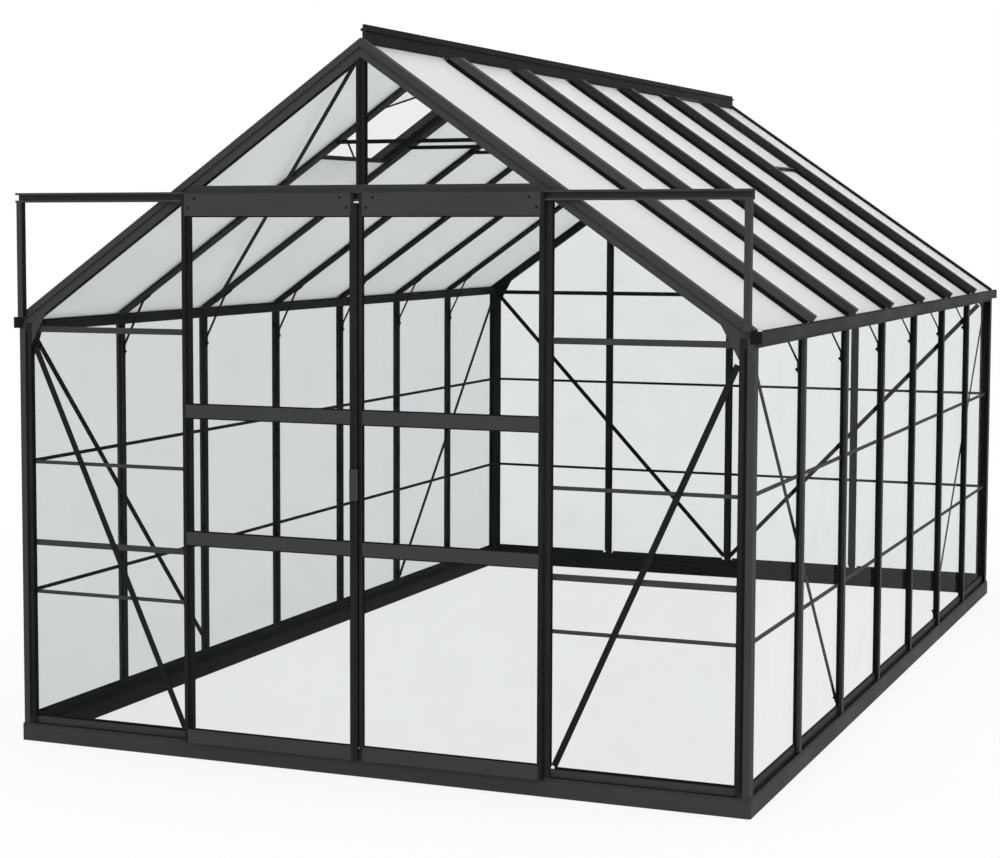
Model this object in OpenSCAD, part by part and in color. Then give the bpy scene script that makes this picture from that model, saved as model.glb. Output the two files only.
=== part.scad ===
// Glazed garden greenhouse with a pair of sliding doors in the front gable.
// Millimetres. Origin on the ground under the middle, +Z up, front gable towards -Y.

/* [Overall] */
// Spacing of the glazing bars
bay = 625; // [590:1:680]
// Number of bays along each side
bays_long = 7; // [5:1:9]
// Height of the tops of the wall bars, under the eave plate
eave_h = 1400; // [1300:5:1600]
// Slope of the roof in degrees
roof_pitch = 35; // [32:0.5:38]

/* [Base] */
// Reach of the base outside the line of the bars
base_out = 25; // [20:0.5:32]
// Reach of the base inside the line of the bars
base_in = 32; // [28:0.5:45]
// Height of the upright outer face of the base
base_face_h = 50; // [35:0.5:60]
// Height of the ledge at the top of the base's slope
ledge_z = 60; // [55:0.5:70]
// Height of the sill that the glass and bars stand on
sill_h = 84; // [76:0.5:100]
// Wall of the hollow base
base_wall = 4; // [3:0.1:5]
// Radius of the base's corners, in plan
base_corner_r = 8; // [4:0.5:9]

/* [Glazing bars] */
// Outer face of the frame, outside the line of the bars
face_out = 19; // [17:0.1:22]
// Width of a wall bar's outer cap
cap_w = 30; // [26:0.5:40]
// Depth of a wall bar's cap, over its lips
cap_lip = 10.5; // [8:0.1:12]
// Thickness of caps and plates
cap_t = 3; // [2:0.1:3.5]
// Thickness of a bar's stem
stem_t = 4; // [3:0.1:6]
// Width of the flange that the glass is bedded on
seat_w = 22; // [18:0.5:25]
// Thickness of that flange
seat_t = 3; // [2:0.1:4]
// Width of the bolt channel on a roof bar's inner edge
slot_w = 16; // [13:0.5:20]
// Depth of the bolt channel
slot_d = 10; // [8:0.5:12]
// Width of the door jambs' cap
jamb_w = 26; // [26:0.5:40]

/* [Corner posts and eaves] */
// Inner reach of a corner post's tube from the line of the bars
core_in = 12; // [10:0.5:14]
// Inner reach of a corner post's outer legs
leg_in = 25.5; // [20:0.5:27]
// Height of the eave plate
plate_h = 30; // [24:0.5:40]
// Width of the gutter outside the frame's face
gutter_w = 20.5; // [18:0.5:45]
// Height of the gutter's face
gutter_h = 35; // [28:0.5:45]
// Set-back of the gutter's ends from the line of the end bars
gutter_set = 7; // [5:0.5:7]
// Thickness of the gutter's end caps
end_cap_t = 4; // [3:0.5:6]

/* [Roof] */
// Depth of a gable rafter, square to the slope
gable_depth = 50; // [46:0.5:60]
// Depth of a roof bar below the gable rafters' face
rafter_depth = 35; // [32:0.5:45]
// Rise of the roof bars' caps over the gable rafters' face
roof_rise = 30; // [28:0.5:36]
// Depth of a roof bar's cap, over its lips
roof_lip = 26; // [18:0.5:28]
// Width of a roof bar's outer cap
rafter_cap_w = 36; // [30:0.5:44]
// Rise of the gable rafters' face over the eave plate at the wall's face
heel_h = 26; // [22:0.5:34]
// Height of the ridge crest over the roof's apex
crest_h = 43.5; // [38:0.5:60]
// Distance of the joint in the ridge behind the middle
ridge_joint_y = 1112; // [800:1:1250]
// Drop of the collar ties below the roof's apex
tie_drop = 298; // [260:1:340]
// Depth of the collar ties
tie_h = 14; // [10:0.5:20]

/* [Glass] */
// Thickness of the glass
glass_t = 3; // [3:0.1:4]
// Height of the lower glazing strip on the walls
strip_low_z = 515; // [450:1:560]
// Height of the upper glazing strip on the walls
strip_high_z = 959; // [900:1:1050]
// Face height of a glazing strip
strip_h = 12; // [9:0.5:16]

/* [Rails and braces] */
// Height of the eave rails' face
rail_h = 20; // [16:0.5:26]
// Height of the middle of the front panels' middle rail
mid_rail_z = 684; // [620:1:760]
// Width of the flat diagonal braces
brace_w = 20; // [15:0.5:26]
// Thickness of the flat diagonal braces
brace_t = 3; // [2:0.1:3]

/* [Doors] */
// Lap of a closed door over its jamb
door_lap = 12; // [8:0.5:16]
// Half the gap between the closed doors
meet_half = 9; // [6:0.5:12]
// Height of the doors' lower edge
door_floor = 58; // [57:0.5:70]
// Depth of a door's frame
door_depth = 25; // [20:0.5:26]
// Width of a door's stiles
stile_w = 12; // [11:0.5:20]
// Height of a door's bottom rail
door_foot_h = 46; // [36:0.5:60]
// Height of a door's two middle rails
door_rail_h = 43; // [34:0.5:52]
// Height of the middle of the lower middle rail
door_rail_low_z = 738; // [660:1:800]
// Height of the middle of the upper middle rail
door_rail_high_z = 1156; // [1080:1:1240]
// Height of the plate at a door's head
door_plate_h = 72; // [68:0.5:90]
// Height of the handle
handle_h = 100; // [80:1:140]
// Height of the handle's middle
handle_z = 943; // [860:1:1000]

/* [Door track] */
// Height of the track
track_h = 32; // [31:0.5:40]
// Depth of the track
track_d = 24.5; // [24.5:0.5:30]
// Reach of the track beyond the outer line of bars
track_end = 14; // [10:0.5:20]
// Height of the header behind the track
header_h = 52; // [46:0.5:64]
// Width of the struts under the track's ends
strut_w = 20; // [16:0.5:24]

/* [Vents] */
// Length of a roof vent's sash down the slope
vent_len = 563.5; // [500:0.5:620]
// Angle at which the left vent stands open, in degrees
vent_open = 19.2; // [10:0.1:30]
// Width of the sash's frame
sash_w = 12; // [10:0.5:24]
// Depth of the sash's frame
sash_d = 14; // [12:0.5:20]

/* [Hidden] */
$fn = 24;
// Overrun of every cut
over = 1;
// Bays across the gable: one each side of a door two bays wide
bays_across = 4;
// Half width and half length, to the line of the end bars
hw = bays_across * bay / 2;
hl = bays_long * bay / 2;
// Slope of the roof
k = tan(roof_pitch);
c = cos(roof_pitch);
// Glass
glass_half = glass_t / 2;
pane_gap = 1;
edge_gap = 3;
edge_in = stem_t / 2 + edge_gap;
strip_t = 1;
strip_web = 2;
// Walls of the bars' bolt channel and its mouth
slot_wall = 2.5;
slot_mouth = 7;
// Corner post
core_wall = 2.5;
core_out = face_out - cap_t;
seat_reach = 12;
// Base
ledge_out = face_out + 0.5 * cap_t;
sill_out = 4.5;
sill_in = 6;
inner_step = 4;
inner_step_z = ledge_z - inner_step;
base_top_w = base_wall / 2;
// Inner face of the glass seats, which is that of the wall bars and the eave plate
bed = glass_half + seat_t;
// Eave plate and gutter
plate_in = bed;
plate_wall = 3;
plate_set = 0.5;
plate_end = core_out - cap_t - plate_set;
eave_top = eave_h + plate_h;
gutter_t = 2.5;
gutter_lip = 5;
gutter_drop = 14;
gutter_z0 = eave_h + gutter_drop;
cap_rim = 1;
// Roof: height of its outer face at the apex
roof_top = eave_top + heel_h + k * (hw + face_out);
rafter_end = 20;
rafter_len = (hw + rafter_end) / c;
glass_d = 12.5;
seat_d = glass_d + glass_half;
glass_hang = 10;
glass_end = rafter_len + glass_hang;
// Gable rafter's face: upper face, groove and lower face
rafter_cap_in = 15;
face_d = 22;
groove_d = 30;
groove_set = 9.5;
groove_n = face_out - groove_set;
low_set = 3.5;
low_n = face_out - low_set;
flange_in = 13;
gable_glass_gap = 4;
gable_glass_d = face_d + gable_glass_gap;
// Ridge: a fin that the bars and the glass come up to
ridge_web = 10;
web_drop = 6;
crest_half = 4;
crest_lip = 6;
crest_lip_top = 12;
crest_lip_low = 20;
ridge_gap = 1;
ridge_set = 7.5;
ridge_y = hl - ridge_set;
web_z = roof_top - gable_depth / c - web_drop;
crest_z = roof_top + crest_h;
// Place down the slope where the glass's under side meets the ridge
head_s = ridge_web / 2 / c + seat_d * k;
glass_top = head_s + pane_gap;
// Level cut of the roof bars' heads, below the apex
head_drop = 22;
head_z = roof_top - head_drop;
// Rails
rail_out = 3.5;
rail_leg_in = 15;
rail_leg_t = 3;
// Gussets and braces
gusset_reach = 85;
gusset_drop = 65;
side_gusset_w = 67;
side_gusset_h = 93;
brace_top_in = 35;
brace_top_drop = 50;
brace_foot_in = 25;
brace_foot_z = 95;
brace_inner_in = 40;
brace_inner_top = 20;
brace_inner_foot = 20;
brace_mid_in = 15;
roof_brace_top = 30;
roof_brace_end = 60;
roof_brace_y = 16;
knee_low_drop = 92;
knee_in = 82;
knee_foot = 35;
knee_t = 4;
knee_w = 12;
tie_z = roof_top - tie_drop;
tie_t = 3;
tie_lap_d = rafter_depth - slot_d;
// Doors, outside the line of the front bars
door_clear = 5.5;
door_w = bay - jamb_w / 2 + door_lap - meet_half;
jamb_top = roof_top - k * bay - gable_depth / c;
header_drop = 10.5;
header_z0 = jamb_top - header_drop;
header_z1 = header_z0 + header_h;
header_in = 20;
track_z0 = header_z0;
track_z1 = track_z0 + track_h;
track_t = 3;
track_lip = 4;
track_x = hw + track_end;
track_n = face_out + track_d;
plate_n0 = track_n + door_clear;
plate_n1 = plate_n0 + cap_t;
frame_n0 = plate_n1 - door_depth;
door_top_drop = 6;
door_top = track_z1 - door_top_drop;
door_under = track_z0 - door_clear;
rebate = 6;
rebate_face = 8;
rebate_n = plate_n1 - rebate_face;
plate_z0 = door_top - door_plate_h;
roller_in = 70;
roller_r = 10;
roller_t = 8;
// Running gap of the rollers over the track's lower flange
roller_seat = 0.3;
roller_n = face_out + (track_d - roller_t) / 2;
axle_r = 3;
seal_w = 2 * meet_half - door_clear;
seal_d = 8;
handle_foot_in = stile_w;
handle_foot_w = stile_w - pane_gap;
handle_w = 30;
handle_t = 3;
strut_wall = 3;
strut_lap = 15;
// Vents: the sash lies between the caps of two bars, its under side level with the glass's
vent_top = head_s;
vent_end = vent_top + vent_len;
vent_side = rafter_cap_w / 2 + pane_gap;
sash_rebate = 5;
sash_glass_d = 6;
vent_left_bay = 1;
vent_right_bay = bays_long - 2;
sill_lap = 7;
sill_t = 2 * sill_lap;
sill_clear = 2;
sill_d1 = rafter_depth - slot_d - sill_clear;
stay_w = 12;
stay_t = 3;
stay_in = sash_w / 2;

// Height of the roof at a distance from the middle and a depth below its outer face
function roof_z(x, d) = roof_top - k * abs(x) - d / c;

// Place of bar number i along the sides
function bar_y(i) = -hl + i * bay;

// Outer cap with its lips, its face at a distance out from the glass
module cap_profile(cap, out, lip) {
    translate([-cap / 2, out - lip]) difference() {
        square([cap, lip]);
        translate([cap_t, -over]) square([cap - 2 * cap_t, lip - cap_t + over]);
    }
}

// Stem between two distances out from the glass, with the seat that the glass is bedded on
module stem_profile(inner, out) {
    translate([-stem_t / 2, inner]) square([stem_t, out - inner]);
    translate([-seat_w / 2, -bed]) square([seat_w, seat_t]);
}

// Wall bar: outer cap, stem and glass seat; +Y points out of the building
module wall_profile(cap) {
    cap_profile(cap, face_out, cap_lip);
    stem_profile(-bed, face_out);
}

// Roof bar: outer cap, stem, glass seat and a bolt channel on the inner edge
module roof_profile() {
    out = glass_d + roof_rise;
    inner = glass_d - rafter_depth;
    cap_profile(rafter_cap_w, out, roof_lip);
    stem_profile(inner + slot_d - slot_wall, out);
    translate([-slot_w / 2, inner]) difference() {
        square([slot_w, slot_d]);
        translate([slot_wall, slot_wall]) square([slot_w - 2 * slot_wall, slot_d - 2 * slot_wall]);
        translate([(slot_w - slot_mouth) / 2, -over]) square([slot_mouth, slot_wall + 2 * over]);
    }
}

// Everything under the gable rafters at a depth below their outer face
module under_roof(d) {
    x_far = hw + bay;
    rotate([90, 0, 0]) linear_extrude(2 * (hl + bay), center = true) polygon([
        [-x_far, -over], [x_far, -over], [x_far, roof_z(x_far, d)],
        [0, roof_z(0, d)], [-x_far, roof_z(x_far, d)]]);
}

// Upright bar in a wall, its cap running on down to the base's ledge
module wall_bar(cap, top) {
    translate([0, 0, sill_h]) linear_extrude(top - sill_h) wall_profile(cap);
    translate([0, 0, ledge_z]) linear_extrude(sill_h - ledge_z) cap_profile(cap, face_out, cap_lip);
}

// Hollow base: upright face, sloping ledge, set-back sill and stepped inner face
module base_profile() {
    w = base_wall;
    difference() {
        polygon([[base_out, 0], [base_out, base_face_h], [ledge_out, ledge_z],
            [sill_out, ledge_z], [sill_out, sill_h], [-sill_in, sill_h],
            [-sill_in, inner_step_z], [-base_in, base_face_h], [-base_in, 0]]);
        polygon([[base_out - w, w], [base_out - w, base_face_h - base_top_w],
            [ledge_out - base_top_w, ledge_z - w], [sill_out - w, ledge_z - w],
            [sill_out - w, sill_h - w], [w - sill_in, sill_h - w],
            [w - sill_in, inner_step_z - w], [w - base_in, base_face_h - w], [w - base_in, w]]);
    }
}

// Plan of the base, with its rounded corners
module base_plan() {
    x = hw + base_out;
    y = hl + base_out;
    r = base_corner_r;
    square([2 * x, 2 * (y - r)], center = true);
    square([2 * (x - r), 2 * y], center = true);
    for (sx = [-1, 1]) for (sy = [-1, 1]) translate([sx * (x - r), sy * (y - r)]) circle(r);
}

// Base across a gable, mitred at both ends
module base_across() {
    intersection() {
        translate([0, hl, 0]) rotate([90, 0, 90])
            linear_extrude(2 * (hw + base_out), center = true) base_profile();
        linear_extrude(sill_h) polygon([[-hw - base_out, hl + base_out], [hw + base_out, hl + base_out],
            [hw - base_in, hl - base_in], [base_in - hw, hl - base_in]]);
        linear_extrude(sill_h) base_plan();
    }
}

// Base along a side, mitred at both ends
module base_along() {
    intersection() {
        translate([hw, 0, 0]) rotate([90, 0, 0])
            linear_extrude(2 * (hl + base_out), center = true) base_profile();
        linear_extrude(sill_h) polygon([[hw + base_out, -hl - base_out], [hw + base_out, hl + base_out],
            [hw - base_in, hl - base_in], [hw - base_in, base_in - hl]]);
        linear_extrude(sill_h) base_plan();
    }
}

module base_front() { color("#3b3c3d") mirror([0, 1, 0]) base_across(); }
module base_rear() { color("#3b3c3d") base_across(); }
module base_left() { color("#3b3c3d") mirror([1, 0, 0]) base_along(); }
module base_right() { color("#3b3c3d") base_along(); }

// Legs of a corner post: one in the gable's face, one in the side's
module gable_leg() {
    translate([-leg_in, face_out - cap_t]) square([leg_in + face_out, cap_t]);
}

module side_leg() {
    translate([face_out - cap_t, -leg_in]) square([cap_t, leg_in + face_out]);
}

// Corner post: square tube, two legs and two glass seats
module corner_profile() {
    side = core_in + core_out;
    translate([-core_in, -core_in]) difference() {
        square(side);
        translate([core_wall, core_wall]) square(side - 2 * core_wall);
    }
    gable_leg();
    side_leg();
    translate([-core_in - seat_reach, -bed]) square([seat_reach + core_wall, seat_t]);
    translate([-bed, -core_in - seat_reach]) square([seat_t, seat_reach + core_wall]);
}

module corner_posts() {
    color("#3a3b3c") for (sx = [0, 1]) for (sy = [0, 1]) mirror([sx, 0, 0]) mirror([0, sy, 0])
        translate([hw, hl, 0]) {
            translate([0, 0, sill_h]) linear_extrude(eave_h - sill_h) corner_profile();
            translate([0, 0, ledge_z]) linear_extrude(sill_h - ledge_z) {
                gable_leg();
                side_leg();
            }
            translate([0, 0, eave_h]) linear_extrude(plate_h) gable_leg();
        }
}

module right_wall_bars() {
    color("#393a3b") for (i = [1 : bays_long - 1]) translate([hw, bar_y(i), 0]) rotate([0, 0, -90])
        wall_bar(cap_w, eave_h);
}

module left_wall_bars() { mirror([1, 0, 0]) right_wall_bars(); }

module rear_wall_bars() {
    color("#393a3b") intersection() {
        for (x = [-bay, 0, bay]) translate([x, hl, 0]) wall_bar(cap_w, roof_top);
        under_roof(gable_depth);
    }
}

module door_jambs() {
    color("#393a3b") intersection() {
        for (x = [-bay, bay]) translate([x, -hl, 0]) rotate([0, 0, 180]) wall_bar(jamb_w, roof_top);
        under_roof(gable_depth);
    }
}

// Header: a channel open to the inside, its ends cut to the rafters
module door_header() {
    x = bay - jamb_w / 2;
    color("#353637") intersection() {
        translate([0, -hl, 0]) rotate([90, 0, 90]) linear_extrude(2 * x, center = true) {
            translate([-face_out, header_z0]) square([cap_t, header_h]);
            translate([-face_out, header_z0]) square([face_out + header_in, cap_t]);
            translate([-face_out, header_z1 - cap_t]) square([face_out + header_in, cap_t]);
        }
        under_roof(gable_depth);
    }
}

module king_bar() {
    color("#393a3b") intersection() {
        translate([0, -hl, header_z1]) rotate([0, 0, 180])
            linear_extrude(roof_top - header_z1) wall_profile(cap_w);
        under_roof(gable_depth);
    }
}

// Angle rail in a gable: a face on the glass seats and a leg between them; z is its lower edge
module gable_rail(x0, x1, z, seat0, seat1) {
    translate([x0, -glass_half, z]) cube([x1 - x0, rail_out + glass_half, rail_h]);
    translate([x0 + seat0, -rail_leg_in, z + (rail_h - rail_leg_t) / 2])
        cube([x1 - x0 - seat0 - seat1, rail_leg_in, rail_leg_t]);
}

module front_panel_rails() {
    seat0 = seat_w / 2 + edge_gap;
    seat1 = seat_reach + edge_gap;
    color("#37383a") for (sx = [0, 1]) mirror([sx, 0, 0]) translate([0, -hl, 0]) mirror([0, 1, 0]) {
        gable_rail(bay + stem_t / 2, hw - plate_in, eave_h, seat0, edge_gap);
        gable_rail(bay + stem_t / 2, hw - core_in, mid_rail_z - rail_h / 2, seat0, seat1);
    }
}

module rear_eave_rails() {
    seat0 = seat_w / 2 + edge_gap;
    color("#37383a") for (sx = [0, 1]) mirror([sx, 0, 0]) translate([0, hl, 0]) {
        gable_rail(bay + stem_t / 2, hw - plate_in, eave_h, seat0, edge_gap);
        gable_rail(stem_t / 2, bay - stem_t / 2, eave_h, seat0, seat0);
    }
}

// Eave plate and gutter, one section along each side
module plate_profile() {
    translate([-plate_in, eave_h]) difference() {
        square([plate_in + face_out, plate_h]);
        translate([plate_wall, plate_wall])
            square([plate_in + face_out - 2 * plate_wall, plate_h - 2 * plate_wall]);
    }
}

module gutter_profile() {
    translate([face_out, gutter_z0]) {
        square([gutter_w, gutter_t]);
        square([gutter_t, eave_top - gutter_z0]);
        translate([gutter_w - gutter_t, 0]) square([gutter_t, gutter_h]);
        translate([gutter_w - gutter_lip, gutter_h - gutter_t]) square([gutter_lip, gutter_t]);
    }
}

module right_eave_gutter() {
    color("#303132") translate([hw, 0, 0]) rotate([90, 0, 0]) {
        linear_extrude(2 * (hl + plate_end), center = true) plate_profile();
        linear_extrude(2 * (hl - gutter_set), center = true) gutter_profile();
    }
}

module left_eave_gutter() { mirror([1, 0, 0]) right_eave_gutter(); }

module gutter_end_caps() {
    color("#0d0d0d") for (sx = [0, 1]) for (sy = [0, 1]) mirror([sx, 0, 0]) mirror([0, sy, 0])
        translate([hw + face_out, hl - gutter_set, gutter_z0 - cap_rim])
            cube([gutter_w + cap_rim, end_cap_t, gutter_h + 2 * cap_rim]);
}

// Frame of the right slope: X goes down into the roof, Z down the slope
module on_slope() {
    translate([0, 0, roof_top]) rotate([0, 90 + roof_pitch, 0]) children();
}

// Cuts at the top of a rafter, in the middle and for the ridge, and at its foot for the eave plate
module rafter_cuts() {
    translate([-hw, -hl - bay, 0]) cube([hw, 2 * (hl + bay), crest_z]);
    translate([-hw, -ridge_y, 0]) cube([hw + ridge_web / 2, 2 * ridge_y, crest_z]);
    translate([hw - plate_in, -hl - bay, 0]) cube([bay, 2 * (hl + bay), eave_top]);
}

// Gable rafter: top cap, upper face, groove, lower face, glass slot and roof seat
module gable_rafter_profile() {
    translate([0, -rafter_cap_in]) square([cap_t, rafter_cap_in + face_out]);
    translate([0, core_out]) square([face_d, cap_t]);
    translate([0, -bed]) square([gable_depth, seat_t]);
    translate([face_d - cap_t, -bed]) square([cap_t, face_out + bed]);
    translate([face_d - cap_t, groove_n]) square([groove_d + cap_t - face_d + cap_t, cap_t]);
    translate([groove_d, groove_n]) square([cap_t, low_n - groove_n]);
    translate([groove_d, low_n - cap_t]) square([gable_depth - groove_d, cap_t]);
    translate([seat_d, -flange_in]) square([seat_t, flange_in - glass_half]);
    translate([gable_depth - seat_t, -flange_in]) square([seat_t, flange_in - glass_half]);
}

module rear_gable_rafters() {
    color("#3d3e3f") for (sx = [0, 1]) mirror([sx, 0, 0]) difference() {
        on_slope() translate([0, hl, 0]) linear_extrude(rafter_len) gable_rafter_profile();
        rafter_cuts();
    }
}

module front_gable_rafters() { mirror([0, 1, 0]) rear_gable_rafters(); }

module right_roof_bars() {
    color("#3d3e3f") for (i = [1 : bays_long - 1]) difference() {
        on_slope() translate([glass_d, bar_y(i), -roof_rise])
            linear_extrude(rafter_len + roof_rise) rotate(90) roof_profile();
        rafter_cuts();
        translate([0, -hl, head_z]) cube([hw, 2 * hl, bay]);
    }
}

module left_roof_bars() { mirror([1, 0, 0]) right_roof_bars(); }

// Ridge: a fin between the bars with a lipped crest
module ridge_profile() {
    half = ridge_web / 2;
    for (sx = [0, 1]) mirror([sx, 0]) polygon([[0, crest_z], [crest_half, crest_z],
        [crest_half, crest_z - crest_lip_top], [half + crest_lip, crest_z - crest_lip_top],
        [half + crest_lip, crest_z - crest_lip_low], [half, crest_z - crest_lip_low],
        [half, web_z], [0, web_z]]);
}

// Ridge in two lengths, with a gap at their joint
module ridge_cap() {
    y1 = ridge_joint_y - ridge_gap / 2;
    y2 = ridge_joint_y + ridge_gap / 2;
    color("#3a3b3c") {
        translate([0, y1, 0]) rotate([90, 0, 0]) linear_extrude(y1 + ridge_y) ridge_profile();
        translate([0, ridge_y, 0]) rotate([90, 0, 0]) linear_extrude(ridge_y - y2) ridge_profile();
    }
}

// Collar ties, bolted to the front side of the roof bars' channels
module collar_ties() {
    x = (roof_z(0, tie_lap_d) - tie_z) / k;
    color("#2b2c2d") for (i = [1 : bays_long - 1])
        translate([-x, bar_y(i) - slot_w / 2 - tie_t, tie_z - tie_h / 2]) cube([2 * x, tie_t, tie_h]);
}

// Knee brace: a bent strap with a foot on the wall bar and one on the roof bar
module knee_profile() {
    x0 = hw - plate_in;
    z0 = eave_h - knee_low_drop;
    x1 = x0 - knee_in;
    p = [x0 - knee_t / 2, z0 + knee_foot / 2 - knee_t / 2];
    q = [x1, roof_z(x1, rafter_depth + knee_t / 2)];
    translate([x0 - knee_t, z0 - knee_foot / 2]) square([knee_t, knee_foot]);
    translate(p) rotate(atan2(q[1] - p[1], q[0] - p[0])) translate([0, -knee_t / 2])
        square([norm(q - p), knee_t]);
    translate([x1, roof_z(x1, rafter_depth)]) rotate(180 - roof_pitch)
        translate([-knee_t, 0]) square([knee_foot + knee_t, knee_t]);
}

module knee_braces() {
    color("#2b2c2d") for (sx = [0, 1]) mirror([sx, 0, 0]) for (i = [1 : bays_long - 1])
        translate([0, bar_y(i) + knee_w / 2, 0]) rotate([90, 0, 0]) linear_extrude(knee_w)
            knee_profile();
}

// Gussets in the gables' corners, and smaller ones in the sides' corners
module gusset_plates() {
    xp = hw - core_in;
    xg = hw - gusset_reach;
    yp = hl - core_in;
    color("#2f3031") for (sx = [0, 1]) for (sy = [0, 1]) mirror([sx, 0, 0]) mirror([0, sy, 0]) {
        translate([0, hl + core_out, 0]) rotate([90, 0, 0]) linear_extrude(cap_t) polygon([
            [xg, roof_z(xg, gable_depth)], [xp, roof_z(xp, gable_depth)], [xp, eave_h - gusset_drop]]);
        translate([hw - core_in, 0, 0]) rotate([90, 0, -90]) linear_extrude(cap_t) polygon([
            [-yp, eave_h], [side_gusset_w - yp - core_in, eave_h], [-yp, eave_h - side_gusset_h]]);
    }
}

// Flat strap between two points of a plane
module strap(p, q) {
    a = atan2(q[1] - p[1], q[0] - p[0]);
    translate(p) rotate(a) translate([0, -brace_w / 2]) square([norm(q - p), brace_w]);
}

module front_braces() {
    color("#2b2c2d") for (sx = [0, 1]) mirror([sx, 0, 0])
        translate([0, -hl - rail_out, 0]) rotate([90, 0, 0]) linear_extrude(brace_t)
            strap([bay + brace_foot_in, brace_foot_z], [hw - brace_top_in, eave_h - brace_top_drop]);
}

module rear_braces() {
    color("#2b2c2d") for (sx = [0, 1]) mirror([sx, 0, 0])
        translate([0, hl - plate_in, 0]) rotate([90, 0, 0]) linear_extrude(brace_t)
            strap([brace_mid_in, sill_h + brace_inner_foot],
                [hw - brace_inner_in, eave_h - brace_inner_top]);
}

module side_wall_braces() {
    color("#2b2c2d") for (sx = [0, 1]) for (sy = [0, 1]) mirror([sx, 0, 0]) mirror([0, sy, 0])
        translate([hw - plate_in - brace_t, 0, 0]) rotate([90, 0, 90]) linear_extrude(brace_t)
            strap([-hl + brace_inner_in, eave_h - brace_inner_top],
                [bar_y(2), sill_h + brace_inner_foot]);
}

// Strap under the roof bars, from the ridge at one end to the eave two bays on
module roof_brace() {
    on_slope() translate([rafter_depth, 0, 0]) rotate([90, 0, 90]) linear_extrude(brace_t)
        strap([hl - roof_brace_y, rafter_depth * k + roof_brace_top],
            [hl - 2 * bay, rafter_len - roof_brace_end]);
}

module roof_braces() {
    color("#2b2c2d") {
        roof_brace();
        rotate([0, 0, 180]) roof_brace();
    }
}

// Heights of the panes in the walls
bands = [[sill_h + pane_gap, strip_low_z - strip_web / 2],
    [strip_low_z + strip_web / 2, strip_high_z - strip_web / 2],
    [strip_high_z + strip_web / 2, eave_h - pane_gap]];

// Edge of the glass at line i of n: more at a corner post than at a bar
function edge_at(i, n) = (i == 0 || i == n) ? core_in + edge_gap : edge_in;

// Glazing strip of H section along X, between the seats
module h_strip(len) {
    rotate([90, 0, 90]) linear_extrude(len) {
        translate([-glass_half - strip_t, -strip_web / 2]) square([glass_t + 2 * strip_t, strip_web]);
        for (y = [glass_half, -glass_half - strip_t])
            translate([y, -strip_h / 2]) square([strip_t, strip_h]);
    }
}

// Strips in a row of bays, along X from x0, at both heights
module strip_row(x0, n, corner0, corner1) {
    for (i = [0 : n - 1]) for (z = [strip_low_z, strip_high_z]) {
        a = (corner0 && i == 0) ? core_in + seat_reach : seat_w / 2;
        b = (corner1 && i == n - 1) ? core_in + seat_reach : seat_w / 2;
        translate([x0 + i * bay + a + pane_gap, 0, z]) h_strip(bay - a - b - 2 * pane_gap);
    }
}

module glazing_strips() {
    color("#3c3d3e") {
        for (sx = [0, 1]) mirror([sx, 0, 0]) {
            translate([hw, 0, 0]) rotate([0, 0, 90]) strip_row(-hl, bays_long, true, true);
            translate([0, -hl, 0]) strip_row(bay, 1, false, true);
        }
        translate([0, hl, 0]) strip_row(-hw, bays_across, true, true);
    }
}

module right_wall_glass() {
    color("#cfd6d9", 0.5) for (i = [0 : bays_long - 1]) for (b = bands) {
        y0 = bar_y(i) + edge_at(i, bays_long);
        y1 = bar_y(i + 1) - edge_at(i + 1, bays_long);
        translate([hw - glass_half, y0, b[0]]) cube([glass_t, y1 - y0, b[1] - b[0]]);
    }
}

module left_wall_glass() { mirror([1, 0, 0]) right_wall_glass(); }

// Edge of the upper gable glass at line i of n: clear of the eave plate at a corner
function gable_edge(i, n) = (i == 0 || i == n) ? plate_in + edge_gap : edge_in;

// Panes in a gable plane between two edges and two heights, cut to the rafters' slots
module gable_pane(x0, x1, z0, z1) {
    intersection() {
        translate([x0, -glass_half, z0]) cube([x1 - x0, glass_t, z1 - z0]);
        translate([0, -hl, 0]) under_roof(gable_glass_d);
    }
}

module rear_glass() {
    top = eave_h + rail_h + pane_gap;
    color("#cfd6d9", 0.5) translate([0, hl, 0]) for (i = [0 : bays_across - 1]) {
        x0 = -hw + i * bay + edge_at(i, bays_across);
        x1 = -hw + (i + 1) * bay - edge_at(i + 1, bays_across);
        for (b = bands) translate([x0, -glass_half, b[0]]) cube([x1 - x0, glass_t, b[1] - b[0]]);
        gable_pane(-hw + i * bay + gable_edge(i, bays_across),
            -hw + (i + 1) * bay - gable_edge(i + 1, bays_across), top, roof_top);
    }
}

module front_glass() {
    x0 = bay + edge_in;
    x1 = hw - core_in - edge_gap;
    r0 = mid_rail_z - rail_h / 2 - pane_gap;
    r1 = mid_rail_z + rail_h / 2 + pane_gap;
    panes = [bands[0], [bands[1][0], r0], [r1, bands[1][1]], bands[2]];
    color("#cfd6d9", 0.5) for (sx = [0, 1]) mirror([sx, 0, 0]) translate([0, -hl, 0]) {
        for (b = panes) translate([x0, -glass_half, b[0]]) cube([x1 - x0, glass_t, b[1] - b[0]]);
        gable_pane(x0, hw - plate_in - edge_gap, eave_h + rail_h + pane_gap, roof_top);
        gable_pane(edge_in, bay - edge_in, header_z1 + pane_gap, roof_top);
    }
}

// Edge of the roof glass at line i: more at a gable rafter than at a bar
function roof_edge(i) = (i == 0 || i == bays_long) ? bed + edge_gap : edge_in;

module roof_glass(vent_bay) {
    for (i = [0 : bays_long - 1]) {
        y0 = bar_y(i) + roof_edge(i);
        y1 = bar_y(i + 1) - roof_edge(i + 1);
        top = (i == vent_bay) ? vent_end + pane_gap : glass_top;
        on_slope() translate([glass_d - glass_half, y0, top]) cube([glass_t, y1 - y0, glass_end - top]);
    }
}

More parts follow.
